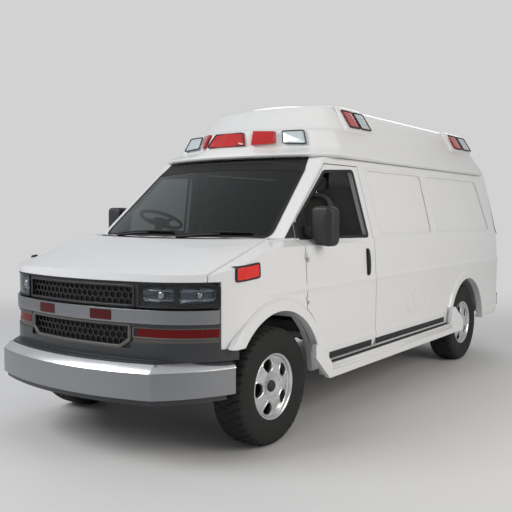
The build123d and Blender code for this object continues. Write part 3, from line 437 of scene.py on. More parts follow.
shell = {
    "noseFront": circleThrough((-620, -752), (0, -840), (620, -752)),        # plan of the nose, as arcs
    "noseCorner": circleThrough((620, -752), (880, -575), (1000, -330)),
    "cornerFrom": 620,
    "glass": circleThrough((-792, 166), (0, 0), (792, 166)),                 # plan of the windshield
    "glassFoot": 1340, "glassLean": 1.2,
    # half width and height of the body's section, bottom to top
    "section": np.array([(985, 386), (1000, 430), (1006, 560), (1000, 592), (1004, 965), (1011, 1000),
                         (1000, 1035), (985, 1290), (968, 1330), (850, 1870), (832, 1935)], float),
    "beltZ": 1330, "cabNarrowing": 0.067, "cabEnd": 1300,
}


def noseY(x, depth):
    # y of the nose at x, that depth behind its surface: the front arc, then the corner's arc
    x = np.abs(x)
    (_, fy), fr = shell["noseFront"]
    (cx, cy), cr = shell["noseCorner"]
    front = fy - np.sqrt(np.maximum((fr - depth) ** 2 - x ** 2, 1))
    corner = cy - np.sqrt(np.maximum((cr - depth) ** 2 - (x - cx) ** 2, 1))
    return np.where(x < shell["cornerFrom"], front, corner)


def glassY(x, z, depth=0.0):
    # y of the windshield's outer surface: an arc from above that leans back as it rises
    (_, gy), gr = shell["glass"]
    return gy - np.sqrt(gr ** 2 - x ** 2) + shell["glassLean"] * (z - shell["glassFoot"]) + depth


def bodyX(y, z, depth=0.0):
    # half width of the body at a height, narrowed over the cab
    x = np.interp(z, shell["section"][:, 1], shell["section"][:, 0])
    narrower = shell["cabNarrowing"] * np.maximum(shell["cabEnd"] - y, 0)
    return x - np.where(z >= shell["beltZ"], narrower, 0) - depth


def sideX(y, z):
    # the fender's side: a soft minimum of the body's section and the nose's outline
    (cx, cy), cr = shell["noseCorner"]
    edge = np.where(y < -330, cx + np.sqrt(np.maximum(cr ** 2 - (y - cy) ** 2, 0)), 1000 + 12 * (y + 330) / 750)
    soft = 5.0
    return -soft * np.logaddexp(-bodyX(y, z) / soft, -edge / soft)


def onNose(x, z, depth):
    # points at (x, z) that depth behind the nose
    return xyz(x, noseY(x, depth), z)


def onGlass(x, z, depth=0.0):
    # points at (x, z) that depth behind the windshield
    return xyz(x, glassY(x, z, depth), z)


def onSide(y, z, depth=0.0, rise=0.0):
    # points at (y, z) that depth inside the body's left side, then raised
    return xyz(bodyX(y, z, depth) + rise, y, z)


print("shapes ready")


# roof

cap = {"rimHalf": 876, "rimZ": 1963, "slope": 272 / 420, "corner": 110, "rear": 4425, "soft": 34, "softUp": 26,
       "wall": 0.012, "flangeFront": 1385}
# half plans of the roof's front at its levels, as (x, y)
lampFoot = np.array([(0, 700), (190, 716), (243, 742), (374, 865), (427, 895), (668, 945)], float)
lampTop = np.array([(0, 775), (170, 788), (225, 815), (350, 905), (403, 935), (643, 1000)], float)
ledge = np.array([(0, 930), (170, 948), (225, 960), (350, 1005), (403, 1030), (651, 1180)], float)
brow = np.array([(0, 1165), (170, 1175), (225, 1182), (350, 1215), (403, 1235), (554, 1300)], float)
lipX = np.array([0, 190, 300, 450, 600, 740], float)
lip = np.stack([lipX, 640 + lipX ** 2 / 3220], -1)
# height, front plan, start of the straight side, rear inset, share of the width and setback, bottom to top
capLevels = ((1937, lip * (1, 0) + (0, cap["flangeFront"]), 1386, 120, 0.93, 0),
             (1937, lip, 1010, 42, 0.985, 12), (1953, lip, 1000, 30, 1, 0),
             (cap["rimZ"], lip, 1000, 30, 1, 0), (2022, lampFoot, 1080, 40, 1, 0),
             (2161, lampTop, 1150, 56, 1, 0), (2190, ledge, 1290, 60, 1, 0), (2385, brow, 1400, 125, 1, 0),
             (2427, brow, 1400, 200, 0.5, 190), (2441, brow, 1400, 330, 0.1, 330))
lampFace = {"foot": 2022, "height": 139, "centreGrow": 18.5, "redGrow": 30.5, "sideGrow": 44.5,
            "sideLow": 2214.0, "sideHigh": 2356.0, "slant": 12, "rise": 5.0, "cornerRadius": 14,
            "gasketHeight": 6.5, "sideGasket": 12}
sideLamps = (("Front", 1335, 1.0), ("Rear", 3630, 1.32))    # where each pair starts, and how stretched it is
pod = {"height": 28.0, "sink": 2, "out": 0.84, "up": 0.27, "foot": 2187, "tall": 206}


def capRing(z, front, cornerY, rearInset, share, setback):
    # the roof's outline at one level: front, straight side, cut rear corner, then its mirror image
    half = (cap["rimHalf"] - max(z - cap["rimZ"], 0) * cap["slope"]) * share
    rear = cap["rear"] - rearInset
    points = np.concatenate([front * (share, 1) + (0, setback), [(half, cornerY + setback)],
                             [(half, rear - cap["corner"])], [(half - cap["corner"] * share, rear)]])
    return xyz(*np.concatenate([points, points[:0:-1] * (-1, 1)]).T, float(z))


def buildRoofCap():
    # rings from the flange under the rim up to the crown, every corner rounded both ways
    grid = roundCorners(np.array([capRing(*level) for level in capLevels]), cap["softUp"], 5, closed=False)
    grid = np.swapaxes(roundCorners(np.swapaxes(grid, 0, 1), cap["soft"]), 0, 1)
    grid = np.concatenate([grid, np.broadcast_to(grid[-1:].mean(1, keepdims=True), grid[-1:].shape)])
    giveWall(gridPiece("roofShell", grid, enamelRoof, stands=("roof_cap",)), cap["wall"])


def capSideX(y, z, grow):
    # half width of the roof's side, moved outwards by grow as the lamps' layers are
    half = cap["rimHalf"] - (z - cap["rimZ"]) * cap["slope"]
    back = ramp(y, 1200, 3060)
    return half + grow * ((1 - back) * half / cap["rimHalf"] + back)


def capFrontY(x, z, grow):
    # y of the slanted lamp face: the two plans mixed by height and read at x
    share = ((z - lampFace["foot"]) / lampFace["height"])[..., None, None]
    x, plan = np.abs(x) / (1 + grow / cap["rimHalf"]), (1 - share) * lampFoot + share * lampTop
    part = np.clip((plan[..., 0] <= x[..., None]).sum(-1) - 1, 0, len(lampFoot) - 2)[..., None, None]
    a, b = (np.take_along_axis(plan, part + step, -2)[..., 0, :] for step in (0, 1))
    return a[..., 1] + (x - a[..., 0]) / (b[..., 0] - a[..., 0]) * (b[..., 1] - a[..., 1]) - grow


def lampPanel(name, corners, finish, slot, gasket=9):
    # a lens that domes over four corners, away from the vehicle's middle, and the gasket round it
    c = np.asarray(corners, float)
    out = unit(np.cross(c[2] - c[0], c[3] - c[1]))
    if out @ (c.mean(0) - np.array([0.0, 2400.0, 1900.0])) <= 0:
        out = -out
    u, v = (w[..., None] for w in net((0, 1, 13), (0, 1, 9)))
    flat = (1 - u) * (1 - v) * c[0] + u * (1 - v) * c[1] + u * v * c[2] + (1 - u) * v * c[3]
    gridPiece(name, flat + out * (lampFace["rise"] * dome(u, v, 0.35)), finish, outward=out, slot=slot)
    if gasket:
        trim(name + "Gasket", roundCorners(c, lampFace["cornerRadius"]), out, gasket, lampFace["gasketHeight"],
             sealRubber, slot=slot)


def buildRoofLamps():
    def front(outline, grow):
        # (x, z) corners laid on the slanted face
        x, z = np.array(outline, float).T
        return xyz(x, capFrontY(x, z, grow), z)

    def onSlope(start, stretch, near, far):
        # a slanted four-cornered outline on the roof's side
        y = start + np.array([near, near + lampFace["slant"], far + lampFace["slant"], far]) * stretch
        z = np.array([lampFace["sideLow"], lampFace["sideHigh"], lampFace["sideHigh"], lampFace["sideLow"]])
        return xyz(capSideX(y, z, lampFace["sideGrow"]), y, z)

    red, clear = (redLens, "roof_lamps_red"), (clearOverReflector, "roof_lamps_clear")
    centre = [(-186, 2043), (186, 2043), (136, 2146), (-136, 2146)]
    lampPanel("roofLampCentre", front(centre, lampFace["centreGrow"]), *red)
    for side, tag in tagOf.items():
        inner = front([(245, 2044), (372, 2060), (350, 2155), (224, 2155)], lampFace["redGrow"])
        outer = front([(429, 2061), (624, 2049), (577, 2157), (407, 2157)], lampFace["centreGrow"])
        lampPanel(f"roofLampFrontRed{tag}", flip(inner, side), *red, gasket=0)
        lampPanel(f"roofLampFrontClear{tag}", flip(outer, side), *clear)
        for place, start, stretch in sideLamps:
            for label, look, near, far in (("Red", red, 61, 231), ("Clear", clear, 255, 425)):
                panel = flip(onSlope(start, stretch, near, far), side)
                lampPanel(f"roofLampSide{label}{place}{tag}", panel, *look, gasket=lampFace["sideGasket"])


def buildPods():
    # a pad on the roof's side, its height falling to its edges by the root of
    # (1 - |2u - 1|^14)(1 - |2v - 1|^10)
    u, v = net((0, 1, 41), (0, 1, 25))
    height = pod["height"] * ((1 - np.abs(2 * u - 1) ** 14) * (1 - np.abs(2 * v - 1) ** 10)) ** 0.5
    for place, start, stretch in sideLamps:
        y = start + ((1 - v) * (470 * u) + v * (45 + 395 * u)) * stretch
        z = pod["foot"] + pod["tall"] * v
        grid = xyz(capSideX(y, z, 0) - pod["sink"] + height * pod["out"], y, z + height * pod["up"])
        for side in tagOf:
            sidePiece(f"lampPod{place}", side, grid, enamelRoof, outward=(1, 0, 0.5), slot="roof_cap")


buildRoofCap()
buildRoofLamps()
buildPods()
print("roof built")


# wheels

axles = {"trackHalf": 858, "height": 387.0, "ends": (("front", 0.0), ("rear", 3429.0))}
tyre = {
    "around": 512, "lugs": 44, "groove": 11.0, "treadFrom": 372, "shoulderAcross": 96, "shoulderFrom": 340,
    "ringAt": 48, "ringHalf": 5.0, "middleRingHalf": 4.5, "sipeAt": 0.22, "sipeDepth": 0.35,
    "ribs": ((345, 1.2), (226, 1.4)), "ribWidth": 3.0,          # radius and height of the sidewall's rings
    # half section from the bead to the crown, as (across, radius), and the bead's back
    "section": [(92, 206), (104, 214), (113, 240), (119, 268), (122, 300), (121, 330), (118, 350), (112, 364),
                (104, 374), (92, 381), (74, 385), (58, 386.5), (42, 387), (28, 387), (14, 387), (0, 387)],
    "beadBack": [(-96, 200), (96, 200)],
}
rim = {
    "windows": 5, "hub": 60, "outer": 196, "windowLow": 108, "windowHigh": 186, "narrow": 26, "wide": 56,
    "cornerPower": 2.7, "wallDepths": (16, 7), "studCircle": 98, "studPair": 14,
    "roll": (5.0, 0.06, 0.09), "drop": (7.0, 0.035),            # height, place and width of each window's roll
    # profiles as (radius, out)
    "dish": [(0, 84), (46, 84), (60, 86), (84, 92), (112, 95), (146, 92), (176, 84), (190, 82), (196, 85)],
    "rimBarrel": [(190, 70), (196, 84), (197, 90), (200, 97), (206, 104), (213, 108), (217, 106), (217, 100),
                  (211, 97), (206, 95), (206, -96), (196, -96), (192, -60), (190, 40)],
    "brakeShield": [(0, 26), (196, 26)],
    "rimCentre": [(0, 84), (40, 84), (50, 86), (63, 87.5)],
    "hubCap": [(0, 98), (12, 97.8), (26, 96.8), (34, 94), (38, 88), (38, 82)],
    "studs": [(17, 82), (14, 95.5), (12, 96.5), (9.5, 94)],
    "studHoleShade": [(9.6, 94.2), (8.8, 84), (0, 83)],
}


def buildTyre(end, side, y):
    # section profile carried round the axle; the tread's blocks stand where both groove waves are low
    section = roundCorners(tyre["section"], 7, 3, closed=False)
    section = np.concatenate([section, section[-2::-1] * (-1, 1), tyre["beadBack"]])
    turn = circle(tyre["around"])[:, None]
    w, r = section[None, :, 0], section[None, :, 1]
    wide = np.abs(w)
    tread = ramp(r, tyre["treadFrom"], 6)
    shoulder = ramp(wide, tyre["shoulderAcross"], 8) * ramp(r, tyre["shoulderFrom"], 8)
    stagger = np.where(w > 0, 0.0, 0.5) + np.where(wide > 45, 0.25, 0.0)
    lateral = np.abs((turn / (2 * np.pi) * tyre["lugs"] + stagger + wide * 0.004) % 1 - 0.5) * 2
    across = ramp(lateral, 0.70, 0.10)
    ring = np.maximum(peak(wide, tyre["ringAt"], tyre["ringHalf"]), peak(wide, 0, tyre["middleRingHalf"]))
    sipe = peak(lateral, tyre["sipeAt"], 0.05) * tyre["sipeDepth"]
    cut = np.maximum(np.maximum(across, ring), sipe) * tread + 0.55 * across * shoulder * (1 - tread)
    rib = sum(height * np.exp(-((r - at) / tyre["ribWidth"]) ** 2) for at, height in tyre["ribs"])
    bulge = np.sign(w) * rib * (wide > 90) * (r > 210)
    radius = r - tyre["groove"] * np.clip(cut, 0, 1)
    grid = xyz(axles["trackHalf"] * side + (w + bulge), y + radius * np.cos(turn),
               axles["height"] + radius * np.sin(turn))
    node = f"tyre_{end}_{lowTagOf[side]}"
    gridPiece(f"treadTyre{end.title()}{tagOf[side]}", grid, tyreRubber, wrapRows=True,
              body=bodyOf[node], stands=(node,))


def turned(profile, turn):
    # a profile of (radius, out) pairs turned round the wheel's axle
    radius, out = np.array(profile, float).T
    return xyz(out, radius * np.cos(turn), radius * np.sin(turn))


def buildRim(end, side, y):
    # disc: round each window a ring of quads grows from the window's outline, |a|^p + |b|^p = 1, to its
    # fifth of the disc; the disc lies on the dish's profile, and swells into a soft roll at each window
    node, name = f"rim_{end}_{lowTagOf[side]}", f"{end.title()}{tagOf[side]}"
    hub = np.array([axles["trackHalf"] * side, y, axles["height"]])
    rest = {"body": bodyOf[node], "slot": node}
    windows, low, high, power = rim["windows"], rim["windowLow"], rim["windowHigh"], rim["cornerPower"]
    edge, one = np.linspace(-1, 1, 17)[:-1], np.ones(16)
    a, b = np.concatenate([edge, one, -edge, -one]), np.concatenate([-one, edge, one, -edge])
    k = 1 / (np.abs(a) ** power + np.abs(b) ** power) ** (1 / power)
    windowR = (low + high) / 2 + b * k * (high - low) / 2
    windowW = a * k * np.interp(windowR, [low, high], [rim["narrow"], rim["wide"]])
    borderR = (rim["hub"] + rim["outer"]) / 2 + b * (rim["outer"] - rim["hub"]) / 2
    t = (np.linspace(0, 1, 12) ** 1.6)[:, None]
    r = (1 - t) * windowR + t * borderR
    angle = (1 - t) * windowW / windowR + t * (a * (np.pi / windows))
    (rise, at, wide), (drop, edgeWide) = rim["roll"], rim["drop"]
    roll = rise * np.exp(-((t - at) / wide) ** 2) - drop * np.exp(-(t / edgeWide) ** 2)
    x = np.interp(r, *np.array(rim["dish"], float).T) + roll
    # the window's wall, turned in behind the roll
    r, angle = (np.concatenate([v[:1], v[:1], v]) for v in (r, angle))
    x = np.concatenate([x[:1] - depth for depth in rim["wallDepths"]] + [x])
    around = angle[None] + ((np.arange(windows) + 0.5) * 2 * np.pi / windows)[:, None, None]
    faces = repeatFaces(gridFaces(*x.shape, wrapCols=True), windows, x.size)
    disc, outward = flip(xyz(x, r * np.cos(around), r * np.sin(around)), side) + hub, flip(sideOut, side)
    makePiece("rimDisc" + name, disc, faces, wheelSilver, outward=outward, stands=(node,), **rest)
    # lip and barrel in one, then the round parts that close the wheel
    turn = circle(96)[:, None]
    for label, finish in (("rimBarrel", wheelSilver), ("brakeShield", castIron), ("rimCentre", wheelSilver),
                          ("hubCap", mouldedBlack)):
        gridPiece(label + name, flip(turned(rim[label], turn), side) + hub, finish, wrapRows=True,
                  outward=None if label == "rimBarrel" else outward, **rest)
    # ten studs in five pairs between the windows, each a low boss with a sunk middle painted near black,
    # painted shade inside the hole
    pairs = (np.arange(windows)[:, None] * 72 + np.array([-1, 1]) * rim["studPair"]).ravel() * np.pi / 180
    spots = xyz(0.0, rim["studCircle"] * np.cos(pairs), rim["studCircle"] * np.sin(pairs))[:, None, None]
    for label, finish in (("studs", wheelSilver), ("studHoleShade", sealRubber)):
        local = np.swapaxes(turned(rim[label], circle(14)[:, None]), 0, 1)
        faces = repeatFaces(gridFaces(len(local), 14, wrapCols=True), len(pairs), len(local) * 14)
        makePiece(label + name, flip(local + spots, side) + hub, faces, finish, outward=outward, **rest)


for axleEnd, wheelY in axles["ends"]:
    for wheelSide in tagOf:
        buildTyre(axleEnd, wheelSide, wheelY)
        buildRim(axleEnd, wheelSide, wheelY)
print("wheels built")


# nose: lamps, grille frame and bar

lamp = {
    "inner": 522, "outer": 926, "low": 955, "high": 1099, "cornerFrom": 862, "cornerDrop": 30,
    "bowls": ((632, 92), (828, 76)), "bowlZ": 1026, "bowlHalf": 56,      # middle and half width of each bowl
    "bezel": 12, "bowlDepth": 44, "flute": 1.6, "bulbs": ((640, 26), (830, 24)), "bulbDepth": 30,
    "bulbSwell": 12, "bars": (998, 1054), "coverWall": 0.003,
}
# name, (from, to, count) along x and z, depth and finish of the lower lamp's sheets
lowerLamp = (("lowerLens", (508, 924, 50), (771, 831, 8), 3, deepRedLens),
             ("lowerLensEnd", (481, 507, 5), (771, 831, 5), 3, sealRubber),
             ("lowerLampSill", (477, 930, 50), (741, 771, 4), 4, frameGrey),
             ("lowerLampHead", (477, 930, 50), (831, 840, 4), 4, frameGrey))
marker = {"corners": [(-416, 1103), (-207, 1118), (-207, 1203), (-416, 1188)], "stand": 8.0, "rise": 2.45}


def buildHeadlamp(side):
    # two bowls sunk in one bezel: depth = 12 + 44 times the root of 1 - |dx|^4 - |dz|^4 inside each bowl,
    # with fine upright flutes
    def bowlEdge(x, z):
        # |dx|^4 + |dz|^4 of the nearer bowl, 1 on its rim
        upright = np.abs((z - lamp["bowlZ"]) / lamp["bowlHalf"]) ** 4
        return np.minimum(*(np.abs((x - centre) / half) ** 4 + upright for centre, half in lamp["bowls"]))

    xs, share = np.linspace(lamp["inner"], lamp["outer"], 132), np.linspace(0, 1, 56)
    top = lamp["high"] - lamp["cornerDrop"] * ramp(xs, lamp["cornerFrom"], 64) ** 2
    x = np.broadcast_to(xs[:, None], (132, 56))
    z = lamp["low"] + share * (top[:, None] - lamp["low"])
    bowl = np.clip(1 - bowlEdge(x, z), 0, 1) ** 0.5
    depth = lamp["bezel"] + lamp["bowlDepth"] * bowl + lamp["flute"] * np.sin(x * 0.42) * (bowl > 0.25)
    piece = sidePiece("lampBowl", side, onNose(x, z, depth), [sealRubber, smokedReflector], outward=cornerOut,
                      stands=("headlamps",))
    middles = np.array([tuple(p.center) for p in piece.data.polygons]) * 1000
    lit = bowlEdge(np.abs(middles[:, 0]), middles[:, 2]) < 0.97
    piece.data.polygons.foreach_set("material_index", lit.astype(np.int32))
    # clear cover that follows the nose, its outer top corner rounded off
    sheet = onNose(x, z, 1.5)
    cover = sidePiece("lampCover", side, sheet, clearLens, outward=cornerOut, slot="headlamps")
    giveWall(cover, lamp["coverWall"])
    edge = np.concatenate([sheet[:, 0], sheet[-1, 1:], sheet[-2::-1, -1], sheet[0, -2:0:-1]])
    sideTrim("lampSurround", side, edge[::3], (0.35, -1, 0), 11, 3.0, sealRubber, slot="headlamps", sink=8)
    # a domed bulb and two bars in each bowl
    for index, (centre, radius) in enumerate(lamp["bulbs"]):
        a, b = net((0, np.pi, 13), circle(24))
        ball = xyz(centre + radius * np.sin(a) * np.cos(b),
                   noseY(centre, lamp["bulbDepth"]) - lamp["bulbSwell"] * np.cos(a),
                   lamp["bowlZ"] + radius * np.sin(a) * np.sin(b))
        sidePiece(f"lampBulb{index}", side, ball, platedBright, slot="headlamps")
        for level in lamp["bars"]:
            path = onNose(np.linspace(centre - 74, centre + 66, 12), float(level), 22)
            sideTrim(f"lampBar{index}{level}", side, path, frontOut, 5, 3, platedBright, closed=False,
                     slot="headlamps")


def noseSheet(xs, zs, depth):
    # a sheet that follows the nose, that depth behind its surface
    return onNose(*net(xs, zs), depth)


def buildLowerLamp(side):
    # dark red lens with a black inner end, in a grey frame
    for label, xs, zs, depth, finish in lowerLamp:
        sidePiece(label, side, noseSheet(xs, zs, depth), finish, outward=cornerOut, slot="marker_lamps",
                  stands=("marker_lamps",) if label == "lowerLens" else ())
    corners = [(481, 770), (925, 770), (925, 832), (481, 832)]
    sideTrim("lowerLampFrame", side, onNose(*along(corners, 24).T, 3), (0.35, -1, 0), 12, 4, frameGrey,
             slot="marker_lamps", sink=3)


def buildSideMarker(side):
    # a domed lens over four corners on the fender, in a rubber gasket
    u, v = net((0, 1, 17), (0, 1, 9))
    (y0, z0), (y1, z1), _, (_, z3) = marker["corners"]
    y, z = y0 + (y1 - y0) * u, z0 + (z1 - z0) * u + (z3 - z0) * v
    x = sideX(y, z) + marker["stand"] + marker["rise"] * dome(u, v, 0.3)
    sidePiece("sideMarkerLens", side, xyz(x, y, z), markerRed, outward=sideOut, stands=("marker_lamps",))
    y, z = along(roundCorners(marker["corners"], 12, 5), 4).T
    sideTrim("sideMarkerGasket", side, xyz(sideX(y, z) + 6, y, z), sideOut, 12, 5, sealRubber,
             slot="marker_lamps", sink=8)


def buildGrilleTrim():
    # frames round both grille openings, reflectors on the bar, and the seal under the hood's edge
    upper = [(-484, 958), (484, 958), (484, 1078), (-484, 1078)]
    lower = [(-386, 706), (386, 706), (455, 754), (455, 846), (-455, 846), (-455, 754)]
    trim("upperGrilleFrame", onNose(*along(upper, 16).T, 9), frontOut, 16, 8, mouldedBlack, slot="grille")
    trim("lowerGrilleFrame", onNose(*along(lower, 12).T, 9), frontOut, 26, 12, frameGrey, slot="grille")
    for side in tagOf:
        sidePiece("barReflector", side, noseSheet((172, 338, 14), (868, 929, 6), -16.5), reflectorRed,
                  outward=frontOut, slot="grille_bar")
    trim("hoodSeal", onNose(np.linspace(-918, 918, 90), 1101.0, 10), frontOut, 9, 8, sealRubber, closed=False,
         slot="grille")


bothSides(buildHeadlamp, buildLowerLamp, buildSideMarker)
buildGrilleTrim()
print("nose built")


# windshield surround, wipers and door trim

glassOut = (0, -0.64, 0.768)
wipers = (((-560, 1352), (60, 1376)), ((120, 1352), (680, 1372)))       # pivot and tip of each, as (x, z)
windowOpening = [(387, 1337), (1294, 1332), (1238, 1844), (840, 1824), (387, 1456)]
mirror = {
    "section": [(956, 1342), (1000, 1290), (1096, 1281), (1122, 1312), (1122, 1530), (1092, 1561), (976, 1561),
                (956, 1541)],
    # y of each station, and its size
    "stations": [(457, 0.80), (459, 0.88), (464, 0.945), (474, 0.985), (492, 1.0), (560, 1.0), (566, 0.985),
                 (569, 0.955), (564, 0.93), (560, 0.92)],
    "cutFrom": 1085, "cutBack": 26, "glassY": 563.0, "glassSize": 0.9,
    "arm": [(872, 470, 1385), (905, 480, 1386), (935, 492, 1388), (962, 505, 1390)],
    "armSection": [(-34, -14), (-20, -20), (20, -20), (34, -14), (34, 14), (20, 20), (-20, 20), (-34, 14)],
}
sail = {"front": 386, "rear": 505, "foot": 1336, "topAt": (385, 1455), "topSlope": 371 / 453, "depth": 10,
        "wall": 0.02}
doorCorner = {"front": 347.5, "rear": 392, "foot": 1339, "top": 1446, "topSlope": 0.3, "stand": 1.6}
handle = {"y": 1244.0, "low": 1033, "high": 1235, "bow": 15,
          "plate": [(1224, 1029), (1264, 1029), (1264, 1239), (1224, 1239)]}


def buildWindshieldTrim():
    # rubber round the glass
    corners = [(-800, 1350), (800, 1350), (715, 1872), (380, 1912), (-380, 1912), (-715, 1872)]
    outline = along(roundCorners(corners, 50, 6), 6)
    trim("windshieldSeal", onGlass(*outline.T, 1), glassOut, 26, 5, sealRubber, slot="windshield")
    # black header: a band from the top of the glass to the roof's lip, bowed with the glass; on the glass's top
    # it is the black frit, above the glass it covers the white surround as painted shade under the roof's lip
    u, v = net((-1, 1, 61), (0, 1, 5))
    low = 1846 - 22 * u ** 2
    z = low + v * (1934 - low)
    x = u * np.interp(z, [1824, 1934], [735, 700])
    gridPiece("windshieldHeaderAndLipShade", onGlass(x, z, -2.5), sealRubber, outward=glassOut, slot="windshield")
    # wipers parked low on the glass, bowed a little upwards
    rest = {"closed": False, "slot": "windshield"}
    for index, (pivot, tip) in enumerate(wipers):
        x, z = np.linspace(pivot, tip, 16).T
        z = z + 12 * np.sin(np.linspace(0, 1, 16) * np.pi)
        trim(f"wiperBlade{index}", onGlass(x, z, -9), glassOut, 9, 12, sealRubber, sink=7, **rest)
        arm = onGlass(x[:10], z[:10] - 9, -14)
        trim(f"wiperArm{index}", arm, glassOut, 14, 9, mouldedBlack, sink=6, **rest)


def buildDoorTrim(side):
    rest = {"body": f"front_door_{lowTagOf[side]}", "slot": f"door_fittings_{lowTagOf[side]}"}
    # rubber round the window, on the door's outer skin
    outline = along(roundCorners(windowOpening, 26, 5), 5)
    sideTrim("windowSeal", side, onSide(*outline.T), wallOut, 24, 5, sealRubber, **rest)
    # mirror head: rounded section carried rearwards, drawn in at both ends and cut back at its outer edge
    section = roundCorners(mirror["section"], 20)
    middle, (y, size) = section.mean(0), np.array(mirror["stations"]).T
    x, z = np.moveaxis(middle + (section - middle) * size[:, None, None], -1, 0)
    cutBack = ramp(x, mirror["cutFrom"], 37) * mirror["cutBack"] * np.clip((500 - y) / 43, 0, 1)[:, None]
    sidePiece("mirrorHead", side, capped(xyz(x, y[:, None] + cutBack, z)), mouldedBlack,
              stands=(rest["slot"],), **rest)
    x, z = (middle + (section - middle) * mirror["glassSize"]).T
    sidePiece("mirrorGlass", side, fan(xyz(x, mirror["glassY"], z)), platedBright, wrapCols=True,
              outward=(0, 1, 0), **rest)
    # mirror arm, the sail it stands on, and the corner of the door ahead of the sail
    arm = sweep(mirror["armSection"], mirror["arm"], (0, 1, 0), False)
    sidePiece("mirrorArm", side, arm, mouldedBlack, **rest)
    y, v = net((sail["front"], sail["rear"], 16), (0, 1, 8))
    top = sail["topAt"][1] + (y - sail["topAt"][0]) * sail["topSlope"]
    sheet = onSide(y, sail["foot"] + v * (top - sail["foot"]), sail["depth"])
    giveWall(sidePiece("mirrorSail", side, sheet, mouldedBlack, outward=sideOut, **rest), sail["wall"])
    y, v = net((doorCorner["front"], doorCorner["rear"], 8), (0, 1, 6))
    top = doorCorner["top"] + (y - doorCorner["front"]) * doorCorner["topSlope"]
    sheet = onSide(y, doorCorner["foot"] + v * (top - doorCorner["foot"]), -doorCorner["stand"])
    sidePiece("doorCorner", side, sheet, mouldedBlack, outward=sideOut, **rest)
    # upright pull handle on its sunk plate
    bow = handle["bow"] * np.sin(np.linspace(0, np.pi, 14)) ** 0.4
    path = onSide(handle["y"], np.linspace(handle["low"], handle["high"], 14), -3, bow)
    sideTrim("doorHandle", side, path, sideOut, 24, 8, mouldedBlack, closed=False, **rest)
    sidePiece("handlePlate", side, fan(onSide(*roundCorners(handle["plate"], 14, 5).T, -1.2)), sealRubber,
              wrapCols=True, outward=sideOut, **rest)


buildWindshieldTrim()
bothSides(buildDoorTrim)
print("windows built")


# cab interior

seat = {
    "x": 450,
    # name, (y, z) of the middle, half sizes, crown, corner power, lean and how full it is stuffed
    "pads": (("seatPlinth", (1040, 812), (205, 205, 122), 0.0, 12, 0.0, None),
             ("seatCushion", (1020, 1006), (245, 240, 74), 0.10, 4.5, 0.0, 0.7),
             ("seatBack", (1246, 1350), (238, 66, 335), 0.10, 4.5, 0.10, 0.6),
             ("headrest", (1290, 1766), (128, 44, 66), 0.10, 3.6, 0.08, 0.6)),
    "posts": ((-52, "A"), (52, "B")), "post": ((1262, 1640), (1274, 1690), (1284, 1740)),
    # name, (y, z) of the middle, half width, (y, z) reach and the way it faces
    "piping": (("Cushion", (1020, 1050), 214, (206, 0), (0, 0, 1)),
               ("Back", (1188, 1352), 206, (29, 290), (0, -1, 0.1))),
}
dash = {"halfWidth": 850, "rear": 600, "foot": 1318, "hump": 46, "humpX": -470, "humpHalf": 190, "wall": 0.004,
        "vents": (-760, -180, 180, 760), "ventHalf": 62, "ventAt": (588, 1292), "ventStep": (0.6, 15)}
steering = {"centre": (-470, 462, 1458), "radius": 168, "grip": 13.5, "tilt": 24, "waves": 22,
            "spokes": (8, 172, 270), "spokeFrom": 52, "spokeReach": 122, "spokeSink": 18, "spokeHalf": 22,
            "spokeTaper": 8, "spokeThick": 7.5}


def softBlock(centre, half, crown=0.12, power=5.0, lean=0.0):
    # a crowned cushion: |x|^p + |y|^p + |z|^p = 1 carried over a sphere's two angles, each face
    # swollen by crown and the sides drawn in between the corners
    lat, lon = net((-np.pi / 2, np.pi / 2, 33), circle(48))
    ray = xyz(np.cos(lat) * np.cos(lon), np.cos(lat) * np.sin(lon), np.sin(lat))
    ray = ray / (np.abs(ray) ** power).sum(-1, keepdims=True) ** (1 / power)
    swell = 1 + crown * (1 - ray[..., (1, 0, 0)] ** 2) * (1 - ray[..., (2, 2, 1)] ** 2) - crown
    x, y, z = np.moveaxis(ray * swell * np.array(half, float), -1, 0)
    return xyz(x, y * math.cos(lean) + z * math.sin(lean), z * math.cos(lean) - y * math.sin(lean)) + centre


def buildSeat(side):
    # plinth, crowned cushion, back, and headrest on two posts
    x, tag = seat["x"] * side, tagOf[side]
    for label, place, half, crown, power, lean, fill in seat["pads"]:
        pad = gridPiece(label + tag, softBlock((x, *place), half, crown, power, lean),
                        seatFabric if fill else mouldedBlack, slot="seats",
                        stands=("seats",) if label == "seatCushion" else ())
    for offset, mark in seat["posts"]:
        path = [(x + offset, *place) for place in seat["post"]]
        trim(f"headrestPost{tag}{mark}", path, (0, 1, 0), 13, 10, platedBright, closed=False, slot="seats",
             sink=4)
    # piping along the cushion's and the back's front edges: |a|^6 + |b|^6 = 1
    a, b = np.cos(circle(72)), np.sin(circle(72))
    k = (a ** 6 + b ** 6) ** (1 / 6)
    for label, (y, z), wide, (reachY, reachZ), out in seat["piping"]:
        path = xyz(x + wide * a / k, y + reachY * b / k, z + reachZ * b / k)
        trim(f"piping{label}{tag}", path, out, 9, 7, sealRubber, slot="seats", sink=8)


